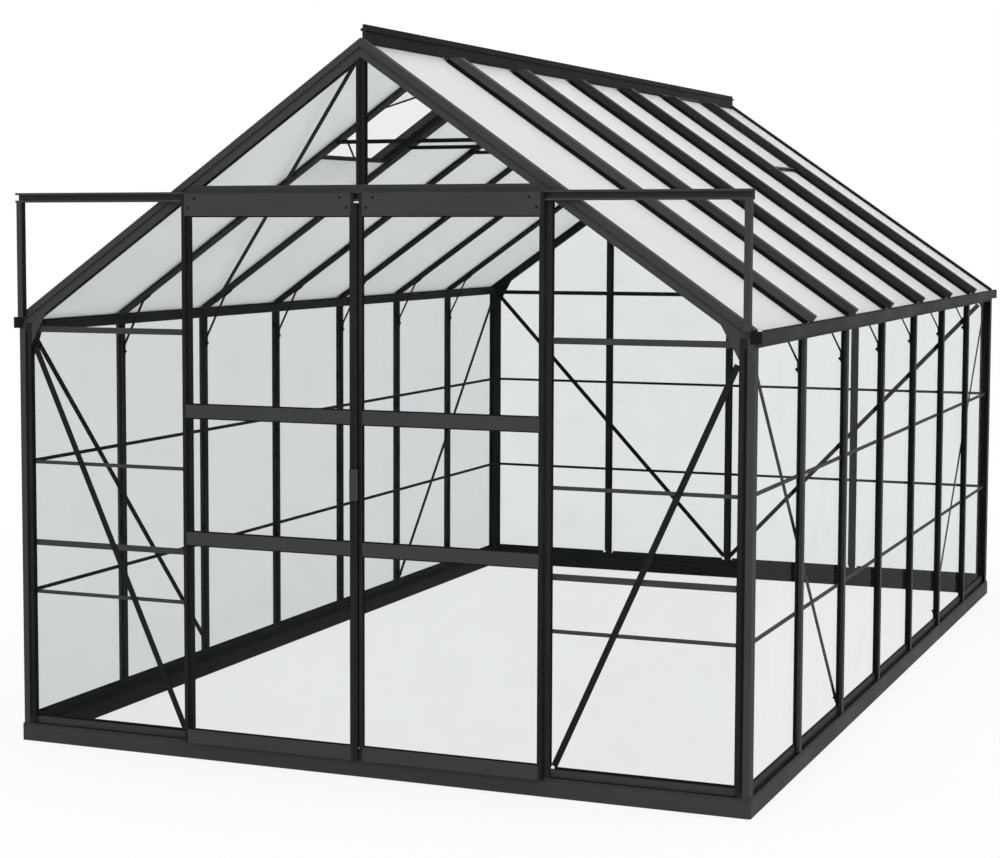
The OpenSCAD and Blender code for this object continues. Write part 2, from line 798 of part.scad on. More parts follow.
module right_roof_glass() { color("#e6e9e9", 0.6) roof_glass(vent_right_bay); }
module left_roof_glass() { color("#e6e9e9", 0.6) mirror([1, 0, 0]) roof_glass(vent_left_bay); }

// Hinge line of a sash: its upper inner edge, on the ridge; angle opens it outwards
module on_hinge(angle) {
    on_slope() translate([seat_d, 0, vent_top]) rotate([0, -angle, 0]) children();
}

// Sash: frame with a rebate for its pane, between the bars' caps
module vent_sash(vent_bay) {
    y0 = bar_y(vent_bay) + vent_side;
    w = bay - 2 * vent_side;
    translate([-sash_d, y0, 0]) difference() {
        cube([sash_d, w, vent_len]);
        translate([-over, sash_w, sash_w])
            cube([sash_d + 2 * over, w - 2 * sash_w, vent_len - 2 * sash_w]);
        translate([sash_glass_d, sash_w - sash_rebate, sash_w - sash_rebate])
            cube([sash_d, w - 2 * (sash_w - sash_rebate), vent_len - 2 * (sash_w - sash_rebate)]);
    }
}

// Pane of a sash, against the rebate's face
module vent_pane(vent_bay) {
    in = sash_w - sash_rebate + pane_gap;
    translate([sash_glass_d - sash_d, bar_y(vent_bay) + vent_side + in, in])
        cube([glass_t, bay - 2 * vent_side - 2 * in, vent_len - 2 * in]);
}

module left_vent_sash() { color("#343536") mirror([1, 0, 0]) on_hinge(vent_open) vent_sash(vent_left_bay); }
module right_vent_sash() { color("#343536") on_hinge(0) vent_sash(vent_right_bay); }

module vent_glass() {
    color("#eef0f0", 0.6) {
        mirror([1, 0, 0]) on_hinge(vent_open) vent_pane(vent_left_bay);
        on_hinge(0) vent_pane(vent_right_bay);
    }
}

// Sill across a vent's bay, under the sash and the next pane: between the stems and between the seats
module vent_sill(vent_bay) {
    y = bar_y(vent_bay);
    seat = seat_w / 2 + pane_gap;
    d0 = seat_d + seat_t;
    on_slope() translate([0, y, vent_end - sill_lap]) {
        translate([d0, stem_t / 2, 0]) cube([sill_d1 - d0, bay - stem_t, sill_t]);
        translate([seat_d, seat, 0]) cube([sill_d1 - seat_d, bay - 2 * seat, sill_t]);
    }
}

module vent_sills() {
    color("#2f3031") {
        mirror([1, 0, 0]) vent_sill(vent_left_bay);
        vent_sill(vent_right_bay);
    }
}

// Stay that holds the left sash open, from the sill's top to the sash's lower rail
module vent_stay() {
    y = bar_y(vent_left_bay) + bay / 2;
    r = vent_len - stay_in;
    p = [seat_d, vent_end - sill_lap / 2];
    q = [seat_d - r * sin(vent_open), vent_top + r * cos(vent_open)];
    len = norm(q - p);
    a = atan2(q[1] - p[1], p[0] - q[0]);
    color("#3a3b3c") mirror([1, 0, 0]) difference() {
        on_slope() translate([p[0], y - stay_w / 2, p[1]]) rotate([0, a, 0])
            translate([-len - sash_w, 0, -stay_t / 2]) cube([len + 2 * sash_w, stay_w, stay_t]);
        on_slope() translate([seat_d, y - bay, 0]) cube([bay, 2 * bay, rafter_len]);
        on_hinge(vent_open) translate([-bay, y - bay, 0]) cube([bay, 2 * bay, rafter_len]);
    }
}

// Door track: a channel open to the front, with lips that keep the rollers in
module door_track() {
    color("#333435") translate([0, -hl, 0]) rotate([90, 0, 90]) linear_extrude(2 * track_x, center = true) {
        translate([-face_out - track_t, track_z0]) square([track_t, track_h]);
        translate([-track_n, track_z0]) square([track_d, track_t]);
        translate([-track_n, track_z1 - track_t]) square([track_d, track_t]);
        translate([-track_n, track_z0]) square([track_t, track_t + track_lip]);
        translate([-track_n, track_z1 - track_t - track_lip]) square([track_t, track_t + track_lip]);
    }
}

// Struts of channel section from the faces of the rafters' feet up to the track
module track_struts() {
    foot_z = roof_z(hw, strut_lap);
    color("#343536") for (sx = [0, 1]) mirror([sx, 0, 0])
        translate([hw - strut_w / 2, -hl - track_n, foot_z]) linear_extrude(track_z0 - foot_z)
            difference() {
                square([strut_w, track_d]);
                translate([strut_wall, strut_wall]) square([strut_w - 2 * strut_wall, track_d]);
            }
}

// Windows of a door, between its rails, made larger by a margin
module door_windows(m) {
    zs = [[door_floor + door_foot_h, door_rail_low_z - door_rail_h / 2],
        [door_rail_low_z + door_rail_h / 2, door_rail_high_z - door_rail_h / 2],
        [door_rail_high_z + door_rail_h / 2, plate_z0]];
    for (z = zs) translate([meet_half + stile_w - m, z[0] - m])
        square([door_w - 2 * stile_w + 2 * m, z[1] - z[0] + 2 * m]);
}

// Place a drawing of the right door between two distances in front of the bars
module door_layer(n0, n1) {
    translate([0, -hl - n0, 0]) rotate([90, 0, 0]) linear_extrude(n1 - n0) children();
}

// Right door's frame: face with windows, deeper rebated body under the track, head plate over it
module door_frame() {
    door_layer(rebate_n, plate_n1) difference() {
        translate([meet_half, door_floor]) square([door_w, door_under - door_floor]);
        door_windows(0);
    }
    door_layer(frame_n0, rebate_n) difference() {
        translate([meet_half, door_floor]) square([door_w, door_under - door_floor]);
        door_windows(rebate);
    }
    door_layer(plate_n0, plate_n1) translate([meet_half, plate_z0]) square([door_w, door_plate_h]);
}

// Right door's three panes, against the rebate's face
module door_glass() {
    door_layer(rebate_n - glass_t, rebate_n) door_windows(rebate - pane_gap);
}

// Right door's rollers on their axles, behind the head plate
module door_rollers() {
    for (x = [meet_half + roller_in, meet_half + door_w - roller_in])
        translate([x, -hl, track_z0 + track_t + roller_seat + roller_r]) rotate([90, 0, 0]) {
            translate([0, 0, roller_n]) cylinder(h = roller_t, r = roller_r);
            translate([0, 0, roller_n]) cylinder(h = plate_n0 - roller_n, r = axle_r);
        }
}

module right_door_frame() { color("#3f4041") door_frame(); }
module right_door_glass() { color("#cfd6d9", 0.5) door_glass(); }
module right_door_rollers() { color("#1a1a1a") door_rollers(); }
module left_door_frame() { color("#3f4041") mirror([1, 0, 0]) door_frame(); }
module left_door_glass() { color("#cfd6d9", 0.5) mirror([1, 0, 0]) door_glass(); }
module left_door_rollers() { color("#1a1a1a") mirror([1, 0, 0]) door_rollers(); }

// Seal on the left door's meeting edge
module left_door_seal() {
    color("#4a4b4c") translate([-meet_half, -hl - plate_n1, door_floor])
        cube([seal_w, seal_d, door_under - door_floor]);
}

// Finger pull on the left door's meeting stile: a foot and a plate that stands off the doors
module left_door_handle() {
    x = -meet_half - handle_foot_in;
    color("#444546") translate([0, -hl - plate_n1, handle_z - handle_h / 2]) linear_extrude(handle_h) {
        translate([x, -door_clear - handle_t]) square([handle_foot_w, door_clear + handle_t]);
        translate([x, -door_clear - handle_t]) square([handle_w, handle_t]);
    }
}

base_front();
base_rear();
base_left();
base_right();
corner_posts();
left_wall_bars();
right_wall_bars();
rear_wall_bars();
door_jambs();
door_header();
king_bar();
front_panel_rails();
rear_eave_rails();
left_eave_gutter();
right_eave_gutter();
gutter_end_caps();
front_gable_rafters();
rear_gable_rafters();
left_roof_bars();
right_roof_bars();
ridge_cap();
collar_ties();
knee_braces();
gusset_plates();
front_braces();
rear_braces();
side_wall_braces();
roof_braces();
glazing_strips();
left_wall_glass();
right_wall_glass();
rear_glass();
front_glass();
left_roof_glass();
right_roof_glass();
left_vent_sash();
right_vent_sash();
vent_glass();
vent_sills();
vent_stay();
door_track();
track_struts();
left_door_frame();
left_door_glass();
left_door_rollers();
left_door_seal();
left_door_handle();
right_door_frame();
right_door_glass();
right_door_rollers();
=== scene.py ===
"""Looks of a glazed garden greenhouse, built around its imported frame.

Every size is in metres, in the frame's own axes: +Z up, the front gable towards -Y.
"""

import logging
import math
from dataclasses import dataclass
from enum import Enum
from typing import Callable, Iterable, Sequence

import bmesh
import bpy
from mathutils import Matrix, Vector


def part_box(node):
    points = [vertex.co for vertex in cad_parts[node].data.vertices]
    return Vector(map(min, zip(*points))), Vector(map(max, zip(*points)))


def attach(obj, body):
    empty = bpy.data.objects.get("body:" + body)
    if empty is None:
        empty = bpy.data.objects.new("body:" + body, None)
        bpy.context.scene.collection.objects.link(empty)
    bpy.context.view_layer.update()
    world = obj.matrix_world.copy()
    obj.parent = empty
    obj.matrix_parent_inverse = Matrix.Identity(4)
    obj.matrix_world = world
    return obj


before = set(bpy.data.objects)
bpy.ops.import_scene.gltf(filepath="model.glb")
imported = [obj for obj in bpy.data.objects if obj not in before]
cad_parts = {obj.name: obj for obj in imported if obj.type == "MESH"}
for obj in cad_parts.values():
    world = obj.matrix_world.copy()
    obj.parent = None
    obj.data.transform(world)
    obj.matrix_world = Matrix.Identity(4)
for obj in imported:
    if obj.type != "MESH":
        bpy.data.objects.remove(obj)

Pair = tuple[float, float]
Triple = tuple[float, float, float]
Spot = tuple[Vector, Vector]
Tree = bpy.types.NodeTree
Socket = bpy.types.NodeSocket
Material = bpy.types.Material
Piece = bpy.types.Object

LOG = logging.getLogger("greenhouse")
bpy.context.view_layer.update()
ROOF_PITCH = math.radians(35.0)
PANE_LAP = 0.005
SMOOTH_ANGLE = math.radians(35.0)
FACING = 0.9
FACING_SQUARELY = 0.99
WAYS = (-1, 1)
UP = Vector((0, 0, 1))
FORWARD = Vector((0, -1, 0))
WHITE = (1.0, 1.0, 1.0, 1.0)
HEART = (0.0, 0.0, 1.0)
HEART_REACH_UP = 0.85


class Body(Enum):
    """The rigid bodies that pieces ride on."""

    FRAME = "frame"
    LEFT_DOOR = "left_door"
    RIGHT_DOOR = "right_door"


DOORS = (Body.LEFT_DOOR, Body.RIGHT_DOOR)


class Slot(Enum):
    """Material slot names that the new pieces could take their finish from; nothing in this script uses
    them.
    """

    FRAME = "frame"
    SHADE = "shade"
    SEAL = "seal"
    PLASTIC = "black_plastic"


class Side(Enum):
    """Which way along X a side of the building lies."""

    LEFT = -1
    RIGHT = 1

    @property
    def label(self) -> str:
        """The side's word in the names of pieces."""
        return self.name.lower()

    @property
    def outward(self) -> Vector:
        """Where the side's outer face looks."""
        return Vector((self.value, 0, 0))

    @property
    def inward(self) -> Vector:
        """Where the side's inner face looks."""
        return Vector((-self.value, 0, 0))


class Gable(Enum):
    """Which way along Y a gable lies."""

    FRONT = -1
    REAR = 1

    @property
    def label(self) -> str:
        """The gable's word in the names of pieces."""
        return self.name.lower()

    @property
    def outward(self) -> Vector:
        """Where the gable's outer face looks."""
        return Vector((0, self.value, 0))


@dataclass(frozen=True)
class Layout:
    """Lines and heights of the building, read from the frame."""

    half_width: float
    half_length: float
    bay: float
    sill: float
    eave: float
    roof_top: float
    face_out: float = 0.019
    cap: float = 0.030
    cap_lip: float = 0.0105
    roof_cap: float = 0.036
    gable_depth: float = 0.050
    glass_half: float = 0.0015

    @classmethod
    def from_frame(cls) -> "Layout":
        """Measure the CAD nodes.

        Returns:
            The layout at rest.
        """
        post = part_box("corner_posts")[1]
        half_width = post.x - cls.face_out
        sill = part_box("base_front")[1].z
        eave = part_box("left_wall_bars")[1].z
        roof_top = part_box("front_gable_rafters")[1].z
        return cls(half_width, post.y - cls.face_out, half_width / 2, sill, eave, roof_top)

    def reach(self) -> Triple:
        """How far the outer faces lie from the building's heart, along each axis."""
        return self.half_width, self.half_length, self.eave * HEART_REACH_UP

    def side_lines(self) -> list[float]:
        """Places of the inner bars along Y."""
        count = round(2 * self.half_length / self.bay)
        return [-self.half_length + self.bay * i for i in range(1, count)]

    def under_rafter(self, x: float) -> float:
        """Height of the gable rafters' under side.

        Args:
            x: Distance from the middle.

        Returns:
            The height there.
        """
        drop = self.gable_depth / math.cos(ROOF_PITCH)
        return self.roof_top - math.tan(ROOF_PITCH) * abs(x) - drop

    def slope(self, side: Side) -> Matrix:
        """Frame of a roof slope: X goes down the right one and up the left one, Z out of the roof.

        Args:
            side: The slope.

        Returns:
            The matrix from that frame to the building's.
        """
        turn = Matrix.Rotation(side.value * ROOF_PITCH, 4, "Y")
        return Matrix.Translation((0, 0, self.roof_top)) @ turn


@dataclass(frozen=True)
class Speckle:
    """A noise pattern: features per metre, octaves and the weight of the finer ones."""

    scale: float
    detail: float
    roughness: float


def node_tree(name: str) -> tuple[Material, Tree, bpy.types.Node]:
    """Start a material.

    Args:
        name: The material's name.

    Returns:
        The material, its node tree and its surface shader.
    """
    material = bpy.data.materials.new(name)
    material.use_nodes = True
    tree = material.node_tree
    return material, tree, tree.nodes["Principled BSDF"]


def feed(tree: Tree, term: Socket | float | Sequence[float], socket: Socket) -> None:
    """Give an input its value.

    Args:
        tree: The material's nodes.
        term: A socket to link, or a plain value.
        socket: The input.
    """
    if isinstance(term, Socket):
        tree.links.new(term, socket)
    else:
        socket.default_value = term


def calculate(tree: Tree, operation: str, *terms: Socket | float | Sequence[float],
              on_vectors: bool = False) -> bpy.types.bpy_prop_collection:
    """Add a sum on numbers or on vectors.

    Args:
        tree: The material's nodes.
        operation: What is worked out.
        terms: Sockets or plain values that go in.
        on_vectors: Whether the terms are vectors.

    Returns:
        The results, a number under Value and a vector under Vector.
    """
    step = tree.nodes.new("ShaderNodeVectorMath" if on_vectors else "ShaderNodeMath")
    step.operation = operation
    for socket, term in zip(step.inputs, terms):
        feed(tree, term, socket)
    return step.outputs


def noise(tree: Tree, speckle: Speckle) -> Socket:
    """Add a noise texture on the piece's own coordinates.

    Args:
        tree: The material's nodes.
        speckle: The pattern.

    Returns:
        Its value.
    """
    place = tree.nodes.new("ShaderNodeTexCoord")
    texture = tree.nodes.new("ShaderNodeTexNoise")
    texture.inputs["Scale"].default_value = speckle.scale
    texture.inputs["Detail"].default_value = speckle.detail
    texture.inputs["Roughness"].default_value = speckle.roughness
    tree.links.new(place.outputs["Object"], texture.inputs["Vector"])
    return texture.outputs["Fac"]


def ramp(tree: Tree, source: Socket, low: float, high: float, to_low: float, to_high: float) -> Socket:
    """Spread a value from one range to another.

    Args:
        tree: The material's nodes.
        source: The value.
        low: Start of its range.
        high: End of its range.
        to_low: Result at the start.
        to_high: Result at the end.

    Returns:
        The clamped result.
    """
    spread = tree.nodes.new("ShaderNodeMapRange")
    spread.inputs["From Min"].default_value = low
    spread.inputs["From Max"].default_value = high
    spread.inputs["To Min"].default_value = to_low
    spread.inputs["To Max"].default_value = to_high
    tree.links.new(source, spread.inputs["Value"])
    return spread.outputs["Result"]


def scaled(colour: Triple, times: float) -> Triple:
    """Make a colour lighter or darker.

    Args:
        colour: The colour.
        times: What each part is multiplied by.

    Returns:
        The new colour.
    """
    return tuple(times * part for part in colour)


def blend_colours(tree: Tree, factor: Socket, first: Triple | Socket, second: Triple | Socket) -> Socket:
    """Mix two colours.

    Args:
        tree: The material's nodes.
        factor: Share of the second colour.
        first: Colour or socket at 0.
        second: Colour or socket at 1.

    Returns:
        The mixed colour.
    """
    mix = tree.nodes.new("ShaderNodeMix")
    mix.data_type = "RGBA"
    tree.links.new(factor, mix.inputs["Factor"])
    for socket, colour in (("A", first), ("B", second)):
        target = next(i for i in mix.inputs if i.name == socket and i.type == "RGBA")
        feed(tree, colour if isinstance(colour, Socket) else (*colour, 1.0), target)
    return next(o for o in mix.outputs if o.type == "RGBA")


def bump(tree: Tree, shader: bpy.types.Node, height: Socket, distance: float, strength: float) -> None:
    """Give a shader a bumped surface.

    Args:
        tree: The material's nodes.
        shader: The surface shader.
        height: Height of the relief.
        distance: Depth of the relief.
        strength: Share of the effect.
    """
    relief = tree.nodes.new("ShaderNodeBump")
    relief.inputs["Distance"].default_value = distance
    relief.inputs["Strength"].default_value = strength
    tree.links.new(height, relief.inputs["Height"])
    tree.links.new(relief.outputs["Normal"], shader.inputs["Normal"])


def show_mixed(tree: Tree, share: Socket | float, first: bpy.types.Node, second: bpy.types.Node) -> None:
    """Show a mix of two shaders as the material's surface.

    Args:
        tree: The material's nodes.
        share: Share of the second shader.
        first: The shader at 0.
        second: The shader at 1.
    """
    mix = tree.nodes.new("ShaderNodeMixShader")
    feed(tree, share, mix.inputs["Fac"])
    tree.links.new(first.outputs[0], mix.inputs[1])
    tree.links.new(second.outputs[0], mix.inputs[2])
    tree.links.new(mix.outputs["Shader"], tree.nodes["Material Output"].inputs["Surface"])


def seen_directly(tree: Tree) -> Socket:
    """Tell the eye's own rays and mirrored ones from the rest.

    Args:
        tree: The nodes of a material or of the world.

    Returns:
        1 for those rays and 0 for others.
    """
    path = tree.nodes.new("ShaderNodeLightPath")
    return calculate(tree, "MAXIMUM", path.outputs["Is Camera Ray"], path.outputs["Is Glossy Ray"])["Value"]


@dataclass(frozen=True)
class PowderCoat:
    """Anthracite powder coat with painted light and shade: lit colour on faces that look out from the
    building's heart, painted shade on faces that look in, and random dust.
    """

    name: str
    outer: Triple
    # painted shade: the colour on faces that look in towards the building's heart
    painted_shade: Triple
    reach: Triple
    heart: Triple = HEART
    # span of outward facing over which the painted shade turns into the lit colour
    shading_span: Pair = (0.1, 0.75)
    shine: float = 0.02
    gloss_spread: Pair = (0.42, 0.56)
    gloss_from: Pair = (0.3, 0.7)
    cloud: Speckle = Speckle(3.0, 4.0, 0.55)
    dust_from: Pair = (0.35, 0.7)
    dust_share: float = 0.16
    dust_lift: float = 1.35
    peel: Speckle = Speckle(750.0, 2.0, 0.5)
    peel_depth: float = 0.00012
    peel_strength: float = 0.35

    def make(self) -> Material:
        """Build the material.

        Returns:
            The finished material.
        """
        material, tree, shader = node_tree(self.name)
        cloud = noise(tree, self.cloud)
        tone = ramp(tree, cloud, *self.dust_from, 0.0, self.dust_share)
        dusty = scaled(self.outer, self.dust_lift)
        feed(tree, blend_colours(tree, tone, self.lit_and_shaded_colour(tree), dusty), shader.inputs["Base Color"])
        feed(tree, ramp(tree, cloud, *self.gloss_from, *self.gloss_spread), shader.inputs["Roughness"])
        shader.inputs["Specular IOR Level"].default_value = self.shine
        bump(tree, shader, noise(tree, self.peel), self.peel_depth, self.peel_strength)
        return material

    def lit_and_shaded_colour(self, tree: Tree) -> Socket:
        """Colour before dust: lit colour on faces that look out from the building's heart, painted shade on
        faces that look in.

        Args:
            tree: The material's nodes.

        Returns:
            The colour.
        """
        return blend_colours(tree, self.painted_light_share(tree), self.painted_shade, self.outer)

    def painted_light_share(self, tree: Tree) -> Socket:
        """Work out how far a face looks outwards from the building's heart, which sets its share of painted
        light.

        Args:
            tree: The material's nodes.

        Returns:
            0 on faces given painted shade to 1 on faces given the lit colour.
        """
        place = tree.nodes.new("ShaderNodeTexCoord")
        outward = calculate(tree, "SUBTRACT", place.outputs["Object"], self.heart, on_vectors=True)
        shares = calculate(tree, "DIVIDE", outward["Vector"], self.reach, on_vectors=True)
        facing = calculate(tree, "DOT_PRODUCT", shares["Vector"], place.outputs["Normal"], on_vectors=True)
        return ramp(tree, facing["Value"], *self.shading_span, 0.0, 1.0)


@dataclass(frozen=True)
class ZonedCoat(PowderCoat):
    """The same coat with a painted shade zone: darker beyond a reach from a middle line, or else within it.
    """

    middle: float = 0.0
    half_opening: float = 0.3
    # painted shade laid over the zone, where the real profile is recessed
    zone_shade: Triple = (0.014, 0.0143, 0.0146)
    zone_shade_within: bool = False
    edge: float = 0.001

    def lit_and_shaded_colour(self, tree: Tree) -> Socket:
        """Colour before dust: the coat's own lit and shaded colour, with painted shade in its zone.

        Args:
            tree: The material's nodes.

        Returns:
            The colour.
        """
        place = tree.nodes.new("ShaderNodeTexCoord")
        parts = tree.nodes.new("ShaderNodeSeparateXYZ")
        tree.links.new(place.outputs["Object"], parts.inputs["Vector"])
        across = calculate(tree, "SUBTRACT", parts.outputs["X"], self.middle)
        aside = calculate(tree, "ABSOLUTE", across["Value"])
        ends = (1.0, 0.0) if self.zone_shade_within else (0.0, 1.0)
        zone = ramp(tree, aside["Value"], self.half_opening, self.half_opening + self.edge, *ends)
        return blend_colours(tree, zone, super().lit_and_shaded_colour(tree), self.zone_shade)


@dataclass(frozen=True)
class ClearPane:
    """Thin float glass: it tints what lies behind it and mirrors more at a flat angle."""

    name: str
    tint: Triple
    index: float = 1.5
    mirror: float = 0.12
    gloss_spread: Pair = (0.01, 0.05)
    gloss_from: Pair = (0.4, 0.75)
    marks: Speckle = Speckle(7.0, 5.0, 0.6)
    marks_from: Pair = (0.45, 0.75)
    marks_dim: float = 0.985
    ripple: Speckle = Speckle(4.0, 1.0, 0.4)
    ripple_depth: float = 0.0006
    ripple_strength: float = 0.1

    def make(self) -> Material:
        """Build the material.

        Returns:
            The finished material.
        """
        material, tree, shader = node_tree(self.name)
        tree.nodes.remove(shader)
        marks = noise(tree, self.marks)
        faint = ramp(tree, marks, *self.marks_from, 0.0, 1.0)
        body = tree.nodes.new("ShaderNodeBsdfTransparent")
        colour = blend_colours(tree, faint, self.tint, scaled(self.tint, self.marks_dim))
        feed(tree, colour, body.inputs["Color"])
        mirror = tree.nodes.new("ShaderNodeBsdfGlossy")
        feed(tree, ramp(tree, marks, *self.gloss_from, *self.gloss_spread), mirror.inputs["Roughness"])
        bump(tree, mirror, noise(tree, self.ripple), self.ripple_depth, self.ripple_strength)
        show_mixed(tree, self.mirror_share(tree), body, mirror)
        return material

    def mirror_share(self, tree: Tree) -> Socket:
        """Work out the mirrored share: some of Fresnel's on the side seen first, none on leaving.

        Args:
            tree: The material's nodes.

        Returns:
            The share.
        """
        fresnel = tree.nodes.new("ShaderNodeFresnel")
        fresnel.inputs["IOR"].default_value = self.index
        geometry = tree.nodes.new("ShaderNodeNewGeometry")
        entering = ramp(tree, geometry.outputs["Backfacing"], 0.0, 1.0, self.mirror, 0.0)
        return calculate(tree, "MULTIPLY", fresnel.outputs["Fac"], entering)["Value"]


@dataclass(frozen=True)
class HazyPane:
    """Milky roof pane: it scatters the light, shows the sky's glow below and nothing behind it."""

    name: str
    tint: Triple
    glow: float = 0.68
    shine: float = 0.2
    gloss_spread: Pair = (0.3, 0.45)
    marks: Speckle = Speckle(4.0, 5.0, 0.6)
    marks_from: Pair = (0.4, 0.75)
    marks_dim: float = 0.975
    ripple: Speckle = Speckle(5.0, 1.0, 0.4)
    ripple_depth: float = 0.0008
    ripple_strength: float = 0.12

    def make(self) -> Material:
        """Build the material.

        Returns:
            The finished material.
        """
        material, tree, shader = node_tree(self.name)
        marks = noise(tree, self.marks)
        faint = ramp(tree, marks, *self.marks_from, 0.0, 1.0)
        colour = blend_colours(tree, faint, self.tint, scaled(self.tint, self.marks_dim))
        feed(tree, colour, shader.inputs["Base Color"])
        feed(tree, ramp(tree, marks, *self.marks_from, *self.gloss_spread), shader.inputs["Roughness"])
        shader.inputs["Specular IOR Level"].default_value = self.shine
        bump(tree, shader, noise(tree, self.ripple), self.ripple_depth, self.ripple_strength)
        through = tree.nodes.new("ShaderNodeBsdfTranslucent")
        feed(tree, colour, through.inputs["Color"])
        show_mixed(tree, self.glow, shader, through)
        return material


@dataclass(frozen=True)
class Moulding:
    """Black plastic or rubber with a fine matt grain."""

    name: str
    colour: Triple
    gloss_spread: Pair
    shine: float = 0.06
    gloss_from: Pair = (0.3, 0.7)
    cloud: Speckle = Speckle(25.0, 3.0, 0.5)
    grey_from: Pair = (0.35, 0.7)
    grey_lift: float = 1.6
    grain: Speckle = Speckle(1400.0, 2.0, 0.5)
    grain_depth: float = 0.00015
    grain_strength: float = 0.4

    def make(self) -> Material:
        """Build the material.

        Returns:
            The finished material.
        """
        material, tree, shader = node_tree(self.name)
        cloud = noise(tree, self.cloud)
        tone = ramp(tree, cloud, *self.grey_from, 0.0, 1.0)
        greyed = scaled(self.colour, self.grey_lift)
        feed(tree, blend_colours(tree, tone, self.colour, greyed), shader.inputs["Base Color"])
        feed(tree, ramp(tree, cloud, *self.gloss_from, *self.gloss_spread), shader.inputs["Roughness"])
        shader.inputs["Specular IOR Level"].default_value = self.shine
        bump(tree, shader, noise(tree, self.grain), self.grain_depth, self.grain_strength)
        return material


COMMON_COAT = "anthracite_coat"
# Outward and inward colours of the one anthracite coat; the inward colour is painted shade. The other
# entries are painted copies of the same coat: the roof copy is lighter as painted light from above, the
# rest darker as painted shade on inner, recessed and trim parts.
COATS: dict[str, tuple[Triple, Triple]] = {
    COMMON_COAT: ((0.049, 0.0495, 0.050), (0.008, 0.0083, 0.0086)),
    "lit_roof_coat": ((0.062, 0.0624, 0.0628), (0.022, 0.0224, 0.0228)),
    "painted_shade_coat": ((0.015, 0.0154, 0.0158), (0.009, 0.0093, 0.0096)),
    "shaded_trim_coat": ((0.027, 0.0273, 0.0276), (0.012, 0.0123, 0.0126)),
    "deep_shade_coat": ((0.008, 0.0082, 0.0084), (0.006, 0.0062, 0.0064)),
}
# Tints of the one clear glass, lighter or darker to paint light and shade: the lit wall pane is a lighter
# copy, and the far wall pane a darker copy that paints the shade on the far left wall.
CLEAR_PANES: dict[str, Triple] = {
    "wall_pane": (0.9175, 0.9265, 0.9290),
    "lit_wall_pane": (0.936, 0.945, 0.947),
    "shaded_far_wall_pane": (0.871, 0.880, 0.883),
}
# Tints of the one milky pane: the far roof pane is a darker copy that paints the shade on the left slope.
HAZY_PANES: dict[str, Triple] = {
    "roof_pane": (0.965, 0.97, 0.97),
    "shaded_far_roof_pane": (0.90, 0.905, 0.905),
    "vent_pane": (0.95, 0.955, 0.955),
}
MOULDINGS = (
    Moulding("rubber_bead", (0.005, 0.005, 0.0052), (0.6, 0.75)),
    Moulding("moulded_black", (0.006, 0.006, 0.006), (0.45, 0.6)),
    Moulding("brush_strip", (0.012, 0.0123, 0.0126), (0.6, 0.8),
             grain=Speckle(2600.0, 2.0, 0.5), grain_depth=0.0004),
)
WORN_BY: dict[str, tuple[str, ...]] = {
    "lit_roof_coat": ("left_roof_bars", "right_roof_bars", "left_vent_sash", "right_vent_sash"),
    "painted_shade_coat": ("king_bar", "front_braces", "side_wall_braces", "vent_sills", "vent_stay"),
    "shaded_trim_coat": ("door_jambs", "ridge_cap", "left_eave_gutter", "right_eave_gutter"),
    "deep_shade_coat": ("knee_braces", "rear_braces", "roof_braces", "collar_ties"),
    "post_coat": ("corner_posts",),
    "left_door_coat": ("left_door_frame",),
    "right_door_coat": ("right_door_frame",),
    "wall_pane": ("front_glass", "left_door_glass", "right_door_glass"),
    "lit_wall_pane": ("right_wall_glass", "rear_glass"),
    "shaded_far_wall_pane": ("left_wall_glass",),
    "roof_pane": ("right_roof_glass",),
    "shaded_far_roof_pane": ("left_roof_glass",),
    "vent_pane": ("vent_glass",),
    "moulded_black": ("gutter_end_caps", "left_door_rollers", "right_door_rollers"),
    "brush_strip": ("left_door_seal",),
}


